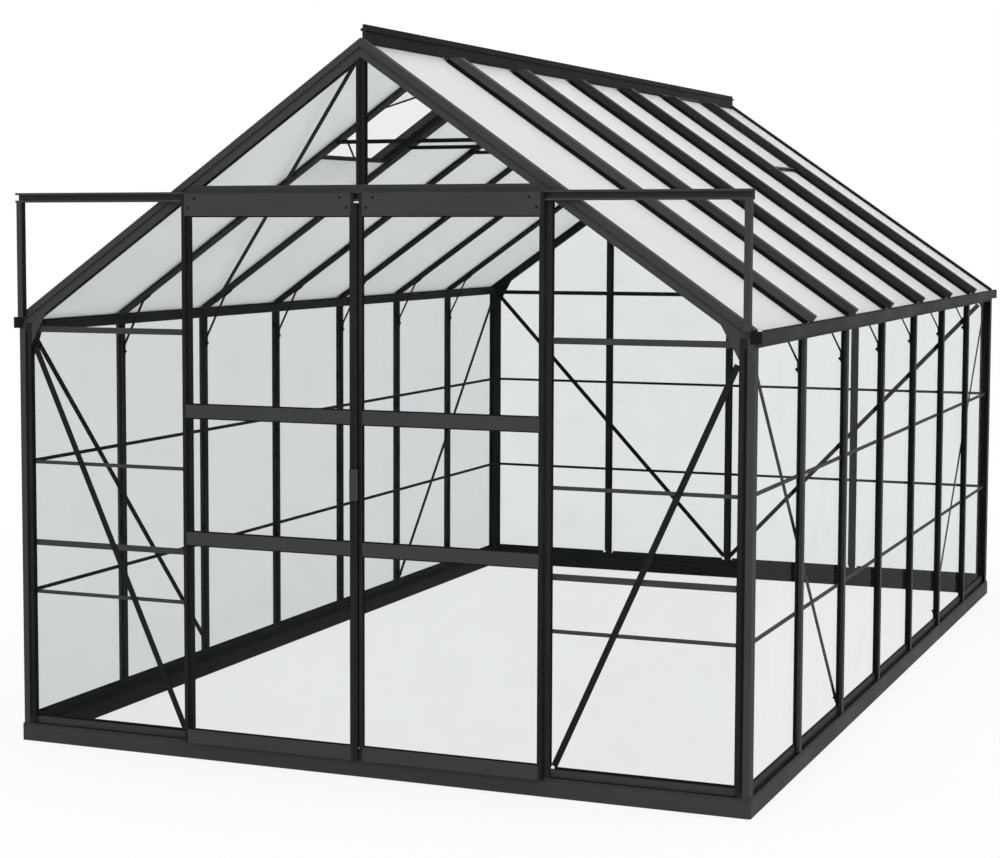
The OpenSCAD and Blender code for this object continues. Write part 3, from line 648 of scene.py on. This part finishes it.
class Bench:
    """Modelling by hand tools: primitives, edit-mode steps and joining."""

    @staticmethod
    def clear_selection() -> None:
        """Leave edit mode and deselect everything."""
        if bpy.context.object and bpy.context.object.mode != "OBJECT":
            bpy.ops.object.mode_set(mode="OBJECT")
        bpy.ops.object.select_all(action="DESELECT")

    @staticmethod
    def box(one: Sequence[float], other: Sequence[float]) -> Piece:
        """Add a box and leave its place in its mesh.

        Args:
            one: A corner.
            other: The corner opposite to it.

        Returns:
            The new object, selected and active.
        """
        Bench.clear_selection()
        low = Vector([min(pair) for pair in zip(one, other)])
        high = Vector([max(pair) for pair in zip(one, other)])
        bpy.ops.mesh.primitive_cube_add(size=1.0, location=(low + high) / 2, scale=high - low)
        bpy.ops.object.transform_apply(location=True, rotation=True, scale=True)
        return bpy.context.object

    @staticmethod
    def drum(radius: float, height: float, corners: int) -> Piece:
        """Add an upright drum that stands on the origin.

        Args:
            radius: Radius over its corners.
            height: Height.
            corners: Number of corners.

        Returns:
            The new object, selected and active.
        """
        Bench.clear_selection()
        bpy.ops.mesh.primitive_cylinder_add(vertices=corners, radius=radius, depth=height,
                                            location=(0, 0, height / 2))
        bpy.ops.object.transform_apply(location=True, rotation=True, scale=True)
        return bpy.context.object

    @staticmethod
    def pick(piece: Piece, wanted: Callable[[bmesh.types.BMFace | bmesh.types.BMEdge], bool],
             kind: str = "FACE") -> None:
        """Enter edit mode with only some faces or edges selected.

        Args:
            piece: The object to edit.
            wanted: Says whether one is selected.
            kind: FACE or EDGE.
        """
        Bench.clear_selection()
        piece.select_set(True)
        bpy.context.view_layer.objects.active = piece
        bpy.ops.object.mode_set(mode="EDIT")
        bpy.ops.mesh.select_mode(type=kind)
        bpy.ops.mesh.select_all(action="DESELECT")
        mesh = bmesh.from_edit_mesh(piece.data)
        for element in mesh.faces if kind == "FACE" else mesh.edges:
            element.select_set(wanted(element))
        mesh.select_flush_mode()
        bmesh.update_edit_mesh(piece.data)

    @staticmethod
    def leave() -> None:
        """Go back to object mode."""
        bpy.ops.object.mode_set(mode="OBJECT")

    @staticmethod
    def bevel(piece: Piece, outward: Vector, offset: float, segments: int) -> None:
        """Bevel round the faces that look one way.

        Args:
            piece: The object to edit.
            outward: Where those faces look.
            offset: Width of the bevel.
            segments: Steps across it.
        """
        Bench.pick(piece, lambda face: face.normal.dot(outward) > FACING)
        bpy.ops.mesh.bevel(offset=offset, segments=segments, affect="EDGES")
        Bench.leave()

    @staticmethod
    def inset(piece: Piece, outward: Vector, thickness: float, depth: float = 0.0,
              facing: float = FACING) -> None:
        """Inset the faces that look one way.

        Args:
            piece: The object to edit.
            outward: Where those faces look.
            thickness: Width of the rim.
            depth: How far the field inside is raised, or sunk where it is below 0.
            facing: Least cosine between a face's normal and that way.
        """
        Bench.pick(piece, lambda face: face.normal.dot(outward) > facing)
        bpy.ops.mesh.inset(thickness=thickness, depth=depth)
        Bench.leave()

    @staticmethod
    def copies(pattern: Piece, places: Iterable[Matrix]) -> list[Piece]:
        """Copy a modelled piece to several places and remove the pattern.

        Args:
            pattern: The piece, modelled at the origin.
            places: Where each copy goes.

        Returns:
            The copies, each with its own mesh.
        """
        made = []
        for place in places:
            copy = pattern.copy()
            copy.data = pattern.data.copy()
            copy.data.transform(place)
            bpy.context.collection.objects.link(copy)
            made.append(copy)
        bpy.data.objects.remove(pattern)
        return made

    @staticmethod
    def join(name: str, pieces: Sequence[Piece]) -> Piece:
        """Join pieces into one object at the origin.

        Args:
            name: The object's name.
            pieces: What it is made of.

        Returns:
            The joined object.
        """
        Bench.clear_selection()
        for piece in pieces:
            piece.select_set(True)
        bpy.context.view_layer.objects.active = pieces[0]
        if len(pieces) > 1:
            bpy.ops.object.join()
        joined = bpy.context.view_layer.objects.active
        joined.name = name
        joined.data.name = name
        bpy.ops.object.shade_smooth_by_angle(angle=SMOOTH_ANGLE)
        Bench.clear_selection()
        return joined


def turned(normal: Vector, point: Vector) -> Matrix:
    """Place that stands a piece on a surface.

    Args:
        normal: Where the piece's top looks.
        point: The foot of the piece.

    Returns:
        The placing matrix.
    """
    return Matrix.Translation(point) @ normal.to_track_quat("Z", "Y").to_matrix().to_4x4()


def dress(piece: Piece, material: Material, body: Body) -> None:
    """Finish a new piece and hang it on its body.

    Args:
        piece: The piece.
        material: Its finish.
        body: The body that it rides on.
    """
    piece.data.materials.clear()
    piece.data.materials.append(material)
    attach(piece, body.value)
    LOG.info("%s: %d faces on %s", piece.name, len(piece.data.polygons), body.value)


@dataclass
class GlazingBeads:
    """Black rubber beads along the bars, on the sills and round the door panes; a black seal by the ridge
    that also paints its shadow line; and dark strips of painted shade on the gutters' tops and on the
    posts' and king bar's faces.
    """

    layout: Layout
    rubber: Material
    width: float = 0.004
    set_in: float = 0.0015
    leg_back: float = 0.003
    gable_lap: float = 0.003
    gable_width: float = 0.0055
    sill_height: float = 0.009
    sill_depth: float = 0.003
    nib: float = 0.0012
    gap: float = 0.0002
    post_in: float = 0.0255
    jamb_half: float = 0.013
    rail_height: float = 0.0215
    header_height: float = 0.052
    roof_low: float = -0.0108
    roof_high: float = 0.0038
    roof_head: float = 0.046
    roof_foot: float = 0.001
    # Size of the dark strip of painted shade along the top of each gutter.
    shade_lip_width: float = 0.006
    shade_lip_height: float = 0.0035
    rafter_in: float = 0.015
    rafter_high: float = -0.0032
    ridge_half: float = 0.005
    ridge_width: float = 0.004
    ridge_low: float = -0.019
    ridge_high: float = -0.012
    door_bead: float = 0.004
    door_face: float = 0.0085
    row_digits: int = 4
    lap_hold: float = 0.007
    lap_over: float = 0.002
    lap_thick: float = 0.0012
    lap_foot: float = 0.037
    # Dark strips on the corner posts' and king bar's outer faces, painted shade for a groove: their reach
    # in from the post's outer edge, their rise off the face and the king bar's strip width.
    shade_strip_from: float = 0.022
    shade_strip_to: float = 0.031
    shade_strip_rise: float = 0.0008
    king_shade_strip: float = 0.008

    def bead(self, one: Sequence[float], other: Sequence[float], outward: Vector) -> Piece:
        """Model one bead, with its outer face inset.

        Args:
            one: A corner.
            other: The corner opposite to it.
            outward: Where the outer face looks.

        Returns:
            The bead.
        """
        piece = Bench.box(one, other)
        Bench.inset(piece, outward, self.nib)
        return piece

    def side_wall(self, side: Side) -> Piece:
        """Beads of one long wall.

        Args:
            side: Which wall.

        Returns:
            The joined beads.
        """
        lay = self.layout
        under_lip = lay.face_out - lay.cap_lip - self.gap
        under_leg = lay.face_out - self.leg_back - self.gap
        beads = [self.upright_along(side, y, way, lay.cap / 2, under_lip)
                 for y in lay.side_lines() for way in WAYS]
        beads += [self.upright_along(side, -way * lay.half_length, way, self.post_in, under_leg)
                  for way in WAYS]
        beads += [self.sill_bead_along(side, y) for y in (-lay.half_length, *lay.side_lines())]
        return Bench.join(f"{side.label}_wall_beads", beads)

    def upright_along(self, side: Side, y: float, way: int, half: float, out: float) -> Piece:
        """Upright bead in a long wall, under the edge of a cap.

        Args:
            side: Which wall.
            y: Line of the bar.
            way: Which edge of the cap along Y.
            half: Reach of the cap from that line.
            out: Outer face of the bead, from the line of the glass.

        Returns:
            The bead.
        """
        lay = self.layout
        near, far = (side.value * (lay.half_width + reach) for reach in (lay.glass_half + self.gap, out))
        edge = y + way * (half - self.set_in)
        return self.bead((near, edge, lay.sill + self.sill_height),
                         (far, edge - way * self.width, lay.eave), side.outward)

    def sill_bead_along(self, side: Side, y: float) -> Piece:
        """Bead on the sill of one side bay.

        Args:
            side: Which wall.
            y: Start of the bay.

        Returns:
            The bead.
        """
        lay = self.layout
        near = side.value * (lay.half_width + lay.glass_half + self.gap)
        far = near + side.value * self.sill_depth
        return self.bead((near, y + self.post_in, lay.sill + self.gap),
                         (far, y + lay.bay - self.post_in, lay.sill + self.sill_height), side.outward)

    def gable_bead(self, gable: Gable, x0: float, x1: float, z0: float, z1: float, depth: float) -> Piece:
        """Bead in a gable's plane.

        Args:
            gable: Which gable.
            x0: One edge.
            x1: The other edge.
            z0: Lower end.
            z1: Upper end.
            depth: How far it stands off the glass.

        Returns:
            The bead.
        """
        lay = self.layout
        near = gable.value * (lay.half_length + lay.glass_half + self.gap)
        return self.bead((x0, near, z0), (x1, near + gable.value * depth, z1), gable.outward)

    def king_foot(self) -> float:
        """Height of the king bar's foot, on the door header."""
        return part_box("door_header")[0].z + self.header_height

    def gable_uprights(self, gable: Gable) -> list[tuple[float, int, float, float]]:
        """Edges of the caps in a gable that beads lie under.

        Args:
            gable: Which gable.

        Returns:
            For each bead the bar's place, which edge, the cap's half width and the bead's lower end.
        """
        lay = self.layout
        half = lay.cap / 2
        feet = (lay.sill + self.sill_height, lay.eave + self.rail_height)
        if gable is Gable.REAR:
            lines = [(x, way, half) for x in (-lay.bay, 0.0, lay.bay) for way in WAYS]
            return [(*line, foot) for line in lines for foot in feet]
        jambs = [(way * lay.bay, way, self.jamb_half) for way in WAYS]
        king = [(0.0, way, half, self.king_foot()) for way in WAYS]
        return [(*line, foot) for line in jambs for foot in feet] + king

    def gable(self, gable: Gable) -> Piece:
        """Beads of one gable: beside the bars and posts, and on the sill.

        Args:
            gable: Which gable.

        Returns:
            The joined beads.
        """
        lay = self.layout
        sill_top = lay.sill + self.sill_height
        under_lip = lay.face_out - lay.cap_lip - lay.glass_half - 2 * self.gap
        under_leg = lay.face_out - self.leg_back - lay.glass_half - 2 * self.gap
        beads = []
        for x, way, half, foot in self.gable_uprights(gable):
            x0 = x + way * (half + self.gable_lap)
            x1 = x0 - way * self.gable_width
            top = lay.eave if foot < lay.eave else lay.under_rafter(max(abs(x0), abs(x1)))
            beads.append(self.gable_bead(gable, x0, x1, foot, top, under_lip))
        for way in WAYS:
            x0 = way * (lay.half_width - self.post_in - self.gable_lap)
            x1 = x0 + way * self.gable_width
            beads.append(self.gable_bead(gable, x0, x1, sill_top, lay.eave, under_leg))
        middle_bays = (-lay.bay, 0.0) if gable is Gable.REAR else ()
        for x in (-lay.half_width, *middle_bays, lay.bay):
            beads.append(self.gable_bead(gable, x + self.post_in, x + lay.bay - self.post_in,
                                         lay.sill + self.gap, sill_top, self.sill_depth))
        return Bench.join(f"{gable.label}_wall_beads", beads)

    def roof(self, side: Side) -> Piece:
        """Beads of one slope: under the caps and beside the gable rafters, a black seal by the ridge that
        also paints its shadow line, and a painted shade strip on the gutter.

        Args:
            side: Which slope.

        Returns:
            The joined beads.
        """
        lay = self.layout
        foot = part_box("right_roof_glass")[1].x / math.cos(ROOF_PITCH) - self.roof_foot
        edges = [(y + way * (lay.roof_cap / 2 - self.set_in), way, self.roof_high)
                 for y in lay.side_lines() for way in WAYS]
        edges += [(way * (lay.half_length - self.rafter_in + self.set_in), -way, self.rafter_high)
                  for way in WAYS]
        beads = []
        for edge, way, top in edges:
            bead = self.bead((side.value * self.roof_head, edge, self.roof_low),
                             (side.value * foot, edge - way * self.width, top), UP)
            bead.data.transform(lay.slope(side))
            beads.append(bead)
        # Black seal along the ridge's fin at the glass line; it also paints the shadow line where the ridge
        # meets the glass.
        low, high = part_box("ridge_cap")
        near, far = (side.value * (self.ridge_half + reach) for reach in (self.gap, self.ridge_width))
        beads.append(self.bead((near, low.y, lay.roof_top + self.ridge_low),
                               (far, high.y, lay.roof_top + self.ridge_high), side.outward))
        beads.append(self.gutter_shade_lip(side))
        return Bench.join(f"{side.label}_roof_beads", beads)

    def gutter_shade_lip(self, side: Side) -> Piece:
        """Dark strip along the top of a gutter's outer wall: painted shade on the gutter's top edge.

        Args:
            side: Which gutter.

        Returns:
            The lip.
        """
        low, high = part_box("gutter_end_caps")
        foot = high.z + self.gap
        return self.bead((side.value * high.x, low.y, foot),
                         (side.value * (high.x - self.shade_lip_width), high.y, foot + self.shade_lip_height),
                         side.outward)

    def door(self, body: Body) -> Piece:
        """Beads round the three panes of a door.

        Args:
            body: Which door.

        Returns:
            The joined beads.
        """
        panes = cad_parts[f"{body.value}_glass"]
        rows = sorted({round(v.co.z, self.row_digits) for v in panes.data.vertices})
        low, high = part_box(f"{body.value}_glass")
        x0, x1 = low.x + PANE_LAP, high.x - PANE_LAP
        back = low.y - self.gap
        face = back - self.door_face / 2
        wide = self.door_bead
        beads = []
        for bottom, top in zip(rows[0::2], rows[1::2]):
            z0, z1 = bottom + PANE_LAP, top - PANE_LAP
            spans = ((x0, x0 + wide, z0, z1), (x1 - wide, x1, z0, z1),
                     (x0 + wide, x1 - wide, z0, z0 + wide), (x0 + wide, x1 - wide, z1 - wide, z1))
            beads += [self.bead((left, face, foot), (right, back, head), FORWARD)
                      for left, right, foot, head in spans]
        if body is Body.LEFT_DOOR:
            beads.append(self.meeting_lap())
        return Bench.join(f"{body.value}_beads", beads)

    def meeting_lap(self) -> Piece:
        """Rubber lap behind the meeting stiles, carried by the left door.

        Returns:
            The lap.
        """
        low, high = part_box("left_door_frame")
        face = high.y + self.gap
        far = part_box("right_door_frame")[0].x + self.lap_over
        return self.bead((high.x - self.lap_hold, face, low.z + self.lap_foot),
                         (far, face + self.lap_thick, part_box("left_door_seal")[1].z), FORWARD)

    def face_shade_strip(self, gable: Gable, x0: float, x1: float, z0: float, z1: float) -> Piece:
        """Dark strip on an upright's outer face: painted shade for a groove.

        Args:
            gable: Which gable.
            x0: One edge.
            x1: The other edge.
            z0: Lower end.
            z1: Upper end.

        Returns:
            The strip.
        """
        face = self.layout.half_length + self.layout.face_out
        near, far = (gable.value * (face + rise) for rise in (0.0, self.shade_strip_rise))
        return self.bead((x0, near, z0), (x1, far, z1), gable.outward)

    def shade_strips(self) -> Piece:
        """Painted shade strips on the corner posts' gable faces and on the king bar.

        Returns:
            The joined strips.
        """
        lay = self.layout
        outer = lay.half_width + lay.face_out
        shade_strips = []
        for way in WAYS:
            ends = (way * (outer - self.shade_strip_from), way * (outer - self.shade_strip_to))
            shade_strips += [self.face_shade_strip(gable, *ends, lay.sill, lay.eave) for gable in Gable]
        half = self.king_shade_strip / 2
        shade_strips.append(self.face_shade_strip(Gable.FRONT, -half, half, self.king_foot(), lay.under_rafter(half)))
        return Bench.join("face_shade_strips", shade_strips)

    def build(self) -> None:
        """Model and dress all beads."""
        for side in Side:
            dress(self.side_wall(side), self.rubber, Body.FRAME)
            dress(self.roof(side), self.rubber, Body.FRAME)
        for gable in Gable:
            dress(self.gable(gable), self.rubber, Body.FRAME)
        dress(self.shade_strips(), self.rubber, Body.FRAME)
        for body in DOORS:
            dress(self.door(body), self.rubber, body)


@dataclass
class Fixings:
    """Nuts on the braces and ties, and screws in the door plates."""

    layout: Layout
    coat: Material
    nut_radius: float = 0.0052
    nut_height: float = 0.004
    nut_corners: int = 6
    washer_radius: float = 0.0065
    washer_height: float = 0.001
    washer_corners: int = 20
    bolt_radius: float = 0.003
    bolt_end: float = 0.002
    bolt_corners: int = 12
    screw_radius: float = 0.0045
    screw_height: float = 0.0025
    screw_corners: int = 16
    knee_face: float = 0.0085
    knee_drop: float = 0.100
    tie_inset: float = 0.016
    tie_back: float = 0.011
    brace_back: float = 0.0075
    rear_foot: Pair = (0.028, 0.033)
    rear_head: Pair = (0.052, 0.033)
    side_foot: Pair = (0.010, 0.030)
    side_head: Pair = (0.048, 0.030)
    plate_end: float = 0.048
    plate_top: float = 0.015
    plate_foot: float = 0.046
    gap: float = 0.0001

    def nut(self) -> Piece:
        """Model a nut on its washer, with the bolt's rounded end.

        Returns:
            The nut, on the origin.
        """
        washer = Bench.drum(self.washer_radius, self.washer_height, self.washer_corners)
        Bench.pick(washer, lambda edge: all(v.co.z > self.washer_height / 2 for v in edge.verts), "EDGE")
        bpy.ops.mesh.bevel(offset=self.washer_height / 3, segments=1, affect="EDGES")
        Bench.leave()
        body = Bench.drum(self.nut_radius, self.nut_height, self.nut_corners)
        Bench.bevel(body, UP, self.nut_radius / 6, segments=1)
        body.data.transform(Matrix.Translation((0, 0, self.washer_height)))
        end = Bench.drum(self.bolt_radius, self.bolt_end, self.bolt_corners)
        Bench.bevel(end, UP, self.bolt_radius / 3, segments=2)
        end.data.transform(Matrix.Translation((0, 0, self.washer_height + self.nut_height)))
        return Bench.join("nut", [washer, body, end])

    def screw(self) -> Piece:
        """Model a domed screw head with a round recess.

        Returns:
            The screw head, on the origin.
        """
        head = Bench.drum(self.screw_radius, self.screw_height, self.screw_corners)
        Bench.bevel(head, UP, self.screw_height / 2, segments=3)
        Bench.inset(head, UP, self.screw_radius / 3, -self.screw_height / 3, FACING_SQUARELY)
        return head

    def knee_points(self) -> list[Spot]:
        """Nuts on the knee braces' lower feet.

        Returns:
            Each nut's place and where it looks.
        """
        lay = self.layout
        face = lay.half_width - self.knee_face - self.gap
        return [(Vector((side.value * face, y, lay.eave - self.knee_drop)), side.inward)
                for side in Side for y in lay.side_lines()]

    def tie_points(self) -> list[Spot]:
        """Nuts on the collar ties' ends, on their front faces.

        Returns:
            Each nut's place and where it looks.
        """
        low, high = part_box("collar_ties")
        z = (low.z + high.z) / 2
        return [(Vector((x, y - self.tie_back - self.gap, z)), FORWARD)
                for y in self.layout.side_lines()
                for x in (low.x + self.tie_inset, high.x - self.tie_inset)]

    def brace_points(self) -> list[Spot]:
        """Nuts on the ends of the rear and side walls' braces, on their inner faces.

        Returns:
            Each nut's place and where it looks.
        """
        lay = self.layout
        back = self.brace_back + self.gap
        rear = ((self.rear_foot[0], lay.sill + self.rear_foot[1]),
                (lay.half_width - self.rear_head[0], lay.eave - self.rear_head[1]))
        along = ((self.side_head[0], lay.eave - self.side_head[1]),
                 (2 * lay.bay - self.side_foot[0], lay.sill + self.side_foot[1]))
        spots = []
        for side in Side:
            spots += [(Vector((side.value * x, lay.half_length - back, z)), FORWARD) for x, z in rear]
            face = side.value * (lay.half_width - back)
            spots += [(Vector((face, way * (lay.half_length - y), z)), side.inward)
                      for way in WAYS for y, z in along]
        return spots

    def plate_screws(self, body: Body) -> Piece:
        """Screws in a door's head plate.

        Args:
            body: Which door.

        Returns:
            The joined screws.
        """
        low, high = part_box(f"{body.value}_frame")
        rows = ((self.plate_end, self.plate_top), (self.plate_end / 2, self.plate_foot))
        places = [turned(FORWARD, Vector((x, low.y - self.gap, high.z - drop)))
                  for end, drop in rows for x in (low.x + end, high.x - end)]
        return Bench.join(f"{body.value}_plate_screws", Bench.copies(self.screw(), places))

    def build(self) -> None:
        """Model and dress all fixings."""
        groups = {"knee_nuts": self.knee_points(), "tie_nuts": self.tie_points(),
                  "brace_nuts": self.brace_points()}
        for name, spots in groups.items():
            places = [turned(normal, point) for point, normal in spots]
            dress(Bench.join(name, Bench.copies(self.nut(), places)), self.coat, Body.FRAME)
        for body in DOORS:
            dress(self.plate_screws(body), self.coat, body)


@dataclass
class BarEnds:
    """Plugs that close the lower ends of the roof bars' caps and reach down to the gutter."""

    layout: Layout
    coat: Material
    length: float = 0.0155
    low: float = 0.004
    high: float = 0.030
    bevel: float = 0.002
    gap: float = 0.0001

    def plug(self) -> Piece:
        """Model one plug at the foot of a bar on the right slope, at Y 0.

        Returns:
            The plug.
        """
        lay = self.layout
        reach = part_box("right_roof_bars")[1].x
        foot = (reach - self.high * math.sin(ROOF_PITCH)) / math.cos(ROOF_PITCH) + self.gap
        half = lay.roof_cap / 2
        piece = Bench.box((foot, -half, self.low), (foot + self.length, half, self.high))
        Bench.bevel(piece, Side.RIGHT.outward, self.bevel, segments=2)
        piece.data.transform(lay.slope(Side.RIGHT))
        return piece

    def build(self) -> None:
        """Model and dress the plugs of both slopes."""
        turn = {Side.RIGHT: Matrix.Identity(4), Side.LEFT: Matrix.Rotation(math.pi, 4, "Z")}
        for side in Side:
            places = [Matrix.Translation((0, y, 0)) @ turn[side] for y in self.layout.side_lines()]
            plugs = Bench.join(f"{side.label}_bar_ends", Bench.copies(self.plug(), places))
            dress(plugs, self.coat, Body.FRAME)


@dataclass
class GutterCorners:
    """Black moulded pieces that close the gutters' ends, beside the feet of the gable rafters."""

    layout: Layout
    plastic: Material
    width: float = 0.0355
    plate: float = 0.003
    tail: float = 0.020
    bevel: float = 0.0012
    gap: float = 0.0002

    def corner(self, side: Side) -> Piece:
        """Model the piece at one front corner: a plate before the post and a tail back to the gutter.

        Args:
            side: Which corner.

        Returns:
            The piece.
        """
        lay = self.layout
        low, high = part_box("gutter_end_caps")
        back = -(lay.half_length + lay.face_out + self.gap)
        runs = ((self.width, back - self.plate, back, FORWARD),
                (self.tail, back, low.y - self.gap, side.outward))
        parts = []
        for width, y0, y1, outward in runs:
            part = Bench.box((side.value * (high.x - width), y0, low.z), (side.value * high.x, y1, high.z))
            Bench.bevel(part, outward, self.bevel, segments=2)
            parts.append(part)
        return Bench.join("corner", parts)

    def build(self) -> None:
        """Model the front corners, turn copies to the rear and dress all four."""
        places = [Matrix.Identity(4), Matrix.Rotation(math.pi, 4, "Z")]
        corners = [copy for side in Side for copy in Bench.copies(self.corner(side), places)]
        dress(Bench.join("gutter_corners", corners), self.plastic, Body.FRAME)


def make_finishes(layout: Layout) -> dict[str, Material]:
    """Make every finish.

    Args:
        layout: Lines of the building.

    Returns:
        The materials by name.
    """
    reach = layout.reach()
    finishes = [PowderCoat(name, *colours, reach) for name, colours in COATS.items()]
    # The corner posts get painted shade over their inner part, and the door frames over their stiles beside
    # the panes.
    finishes.append(ZonedCoat("post_coat", *COATS[COMMON_COAT], reach, zone_shade_within=True,
                              half_opening=layout.half_width + layout.face_out - GlazingBeads.shade_strip_from))
    for door in DOORS:
        low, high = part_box(f"{door.value}_glass")
        finishes.append(ZonedCoat(f"{door.value}_coat", *COATS[COMMON_COAT], reach,
                                  middle=(low.x + high.x) / 2,
                                  half_opening=(high.x - low.x) / 2 - PANE_LAP))
    finishes += [ClearPane(name, tint) for name, tint in CLEAR_PANES.items()]
    finishes += [HazyPane(name, tint) for name, tint in HAZY_PANES.items()]
    finishes += MOULDINGS
    return {finish.name: finish.make() for finish in finishes}


@dataclass
class NodeFinishes:
    """Better finishes for the CAD nodes, in their own slots."""

    finishes: dict[str, Material]

    def choose(self, node: str) -> Material:
        """Pick a node's finish.

        Args:
            node: The node's name.

        Returns:
            Its material, the common coat where no other is named.
        """
        name = next((finish for finish, nodes in WORN_BY.items() if node in nodes), COMMON_COAT)
        return self.finishes[name]

    def build(self) -> None:
        """Dress every node."""
        for name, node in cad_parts.items():
            material = self.choose(name)
            if node.material_slots:
                for place in node.material_slots:
                    place.material = material
            else:
                node.data.materials.append(material)
            LOG.info("%s: %s", name, material.name)


@dataclass(frozen=True)
class Lamp:
    """A round, soft lamp."""

    name: str
    place: Triple
    size: float
    power: float


@dataclass
class Studio:
    """Pale floor, soft light and the photograph's viewpoint."""

    eye: Triple = (2.913, -8.5485, 1.768)
    yaw: float = 23.72
    dip: float = 4.406
    sensor: float = 36.0
    lens: float = 79.72
    shift: Pair = (0.1028, -0.0356)
    sight: float = 200.0
    floor_size: float = 90.0
    floor_drop: float = 0.0005
    floor_colour: Triple = (0.93, 0.93, 0.93)
    floor_roughness: float = 0.55
    floor_shine: float = 0.15
    near_white: float = 0.85
    fade: Pair = (2.4, 5.5)
    sky_light: float = 0.66
    aim: Triple = (0.0, 0.0, 1.1)
    lamps: tuple[Lamp, ...] = (
        Lamp("front_lamp", (1.5, -11.0, 4.5), 6.0, 230.0),
        Lamp("right_lamp", (4.0, -1.0, 9.0), 6.0, 125.0),
        Lamp("top_lamp", (0.0, 0.0, 9.0), 7.0, 175.0),
    )

    def build_floor(self) -> None:
        """Lay the floor: white to the eye, with the object's own soft shadow."""
        Bench.clear_selection()
        bpy.ops.mesh.primitive_plane_add(size=self.floor_size, location=(0, 0, -self.floor_drop))
        floor = bpy.context.object
        floor.name = "studio_floor"
        material, tree, shader = node_tree("pale_floor")
        shader.inputs["Base Color"].default_value = (*self.floor_colour, 1.0)
        shader.inputs["Roughness"].default_value = self.floor_roughness
        shader.inputs["Specular IOR Level"].default_value = self.floor_shine
        place = tree.nodes.new("ShaderNodeTexCoord")
        distance = calculate(tree, "LENGTH", place.outputs["Object"], on_vectors=True)
        whiteness = ramp(tree, distance["Value"], *self.fade, self.near_white, 1.0)
        share = calculate(tree, "MULTIPLY", seen_directly(tree), whiteness)
        white = tree.nodes.new("ShaderNodeEmission")
        white.inputs["Color"].default_value = WHITE
        white.inputs["Strength"].default_value = 1.0
        show_mixed(tree, share["Value"], shader, white)
        floor.data.materials.append(material)

    def build_sky(self) -> None:
        """Set the world: white to the eye, in reflections and through glass, softer as a light."""
        world = bpy.data.worlds.new("studio_sky")
        bpy.context.scene.world = world
        world.use_nodes = True
        tree = world.node_tree
        ground = tree.nodes["Background"]
        ground.inputs["Color"].default_value = WHITE
        path = tree.nodes.new("ShaderNodeLightPath")
        shown = calculate(tree, "MAXIMUM", seen_directly(tree), path.outputs["Is Transmission Ray"])
        feed(tree, ramp(tree, shown["Value"], 0.0, 1.0, self.sky_light, 1.0), ground.inputs["Strength"])

    def build_lamps(self) -> None:
        """Hang the soft lamps, each aimed at the building's middle."""
        for lamp in self.lamps:
            data = bpy.data.lights.new(lamp.name, "AREA")
            data.shape = "DISK"
            data.size = lamp.size
            data.energy = lamp.power
            hung = bpy.data.objects.new(lamp.name, data)
            hung.location = lamp.place
            aim = Vector(self.aim) - Vector(lamp.place)
            hung.rotation_euler = aim.to_track_quat("-Z", "Y").to_euler()
            bpy.context.collection.objects.link(hung)

    def build_camera(self) -> None:
        """Stand the camera where the photograph was taken."""
        data = bpy.data.cameras.new("photo_camera")
        data.sensor_width = self.sensor
        data.lens = self.lens
        data.shift_x, data.shift_y = self.shift
        data.clip_end = self.sight
        camera = bpy.data.objects.new("photo_camera", data)
        camera.location = self.eye
        camera.rotation_euler = (math.radians(90.0 - self.dip), 0.0, math.radians(self.yaw))
        bpy.context.collection.objects.link(camera)
        bpy.context.scene.camera = camera

    def build(self) -> None:
        """Set up the whole studio."""
        self.build_camera()
        self.build_floor()
        self.build_sky()
        self.build_lamps()
        bpy.context.scene.view_settings.view_transform = "Standard"


def main() -> None:
    """Build the studio, the finishes and the added pieces in order."""
    logging.basicConfig(level=logging.INFO, format="%(name)s %(message)s")
    layout = Layout.from_frame()
    LOG.info("layout %s", layout)
    Studio().build()
    finishes = make_finishes(layout)
    NodeFinishes(finishes).build()
    GlazingBeads(layout, finishes["rubber_bead"]).build()
    # The nuts take the darker painted shade copy of the coat, and the bar ends the lighter painted light
    # copy of the roof.
    Fixings(layout, finishes["painted_shade_coat"]).build()
    BarEnds(layout, finishes["lit_roof_coat"]).build()
    GutterCorners(layout, finishes["moulded_black"]).build()


if __name__ == "__main__":
    main()
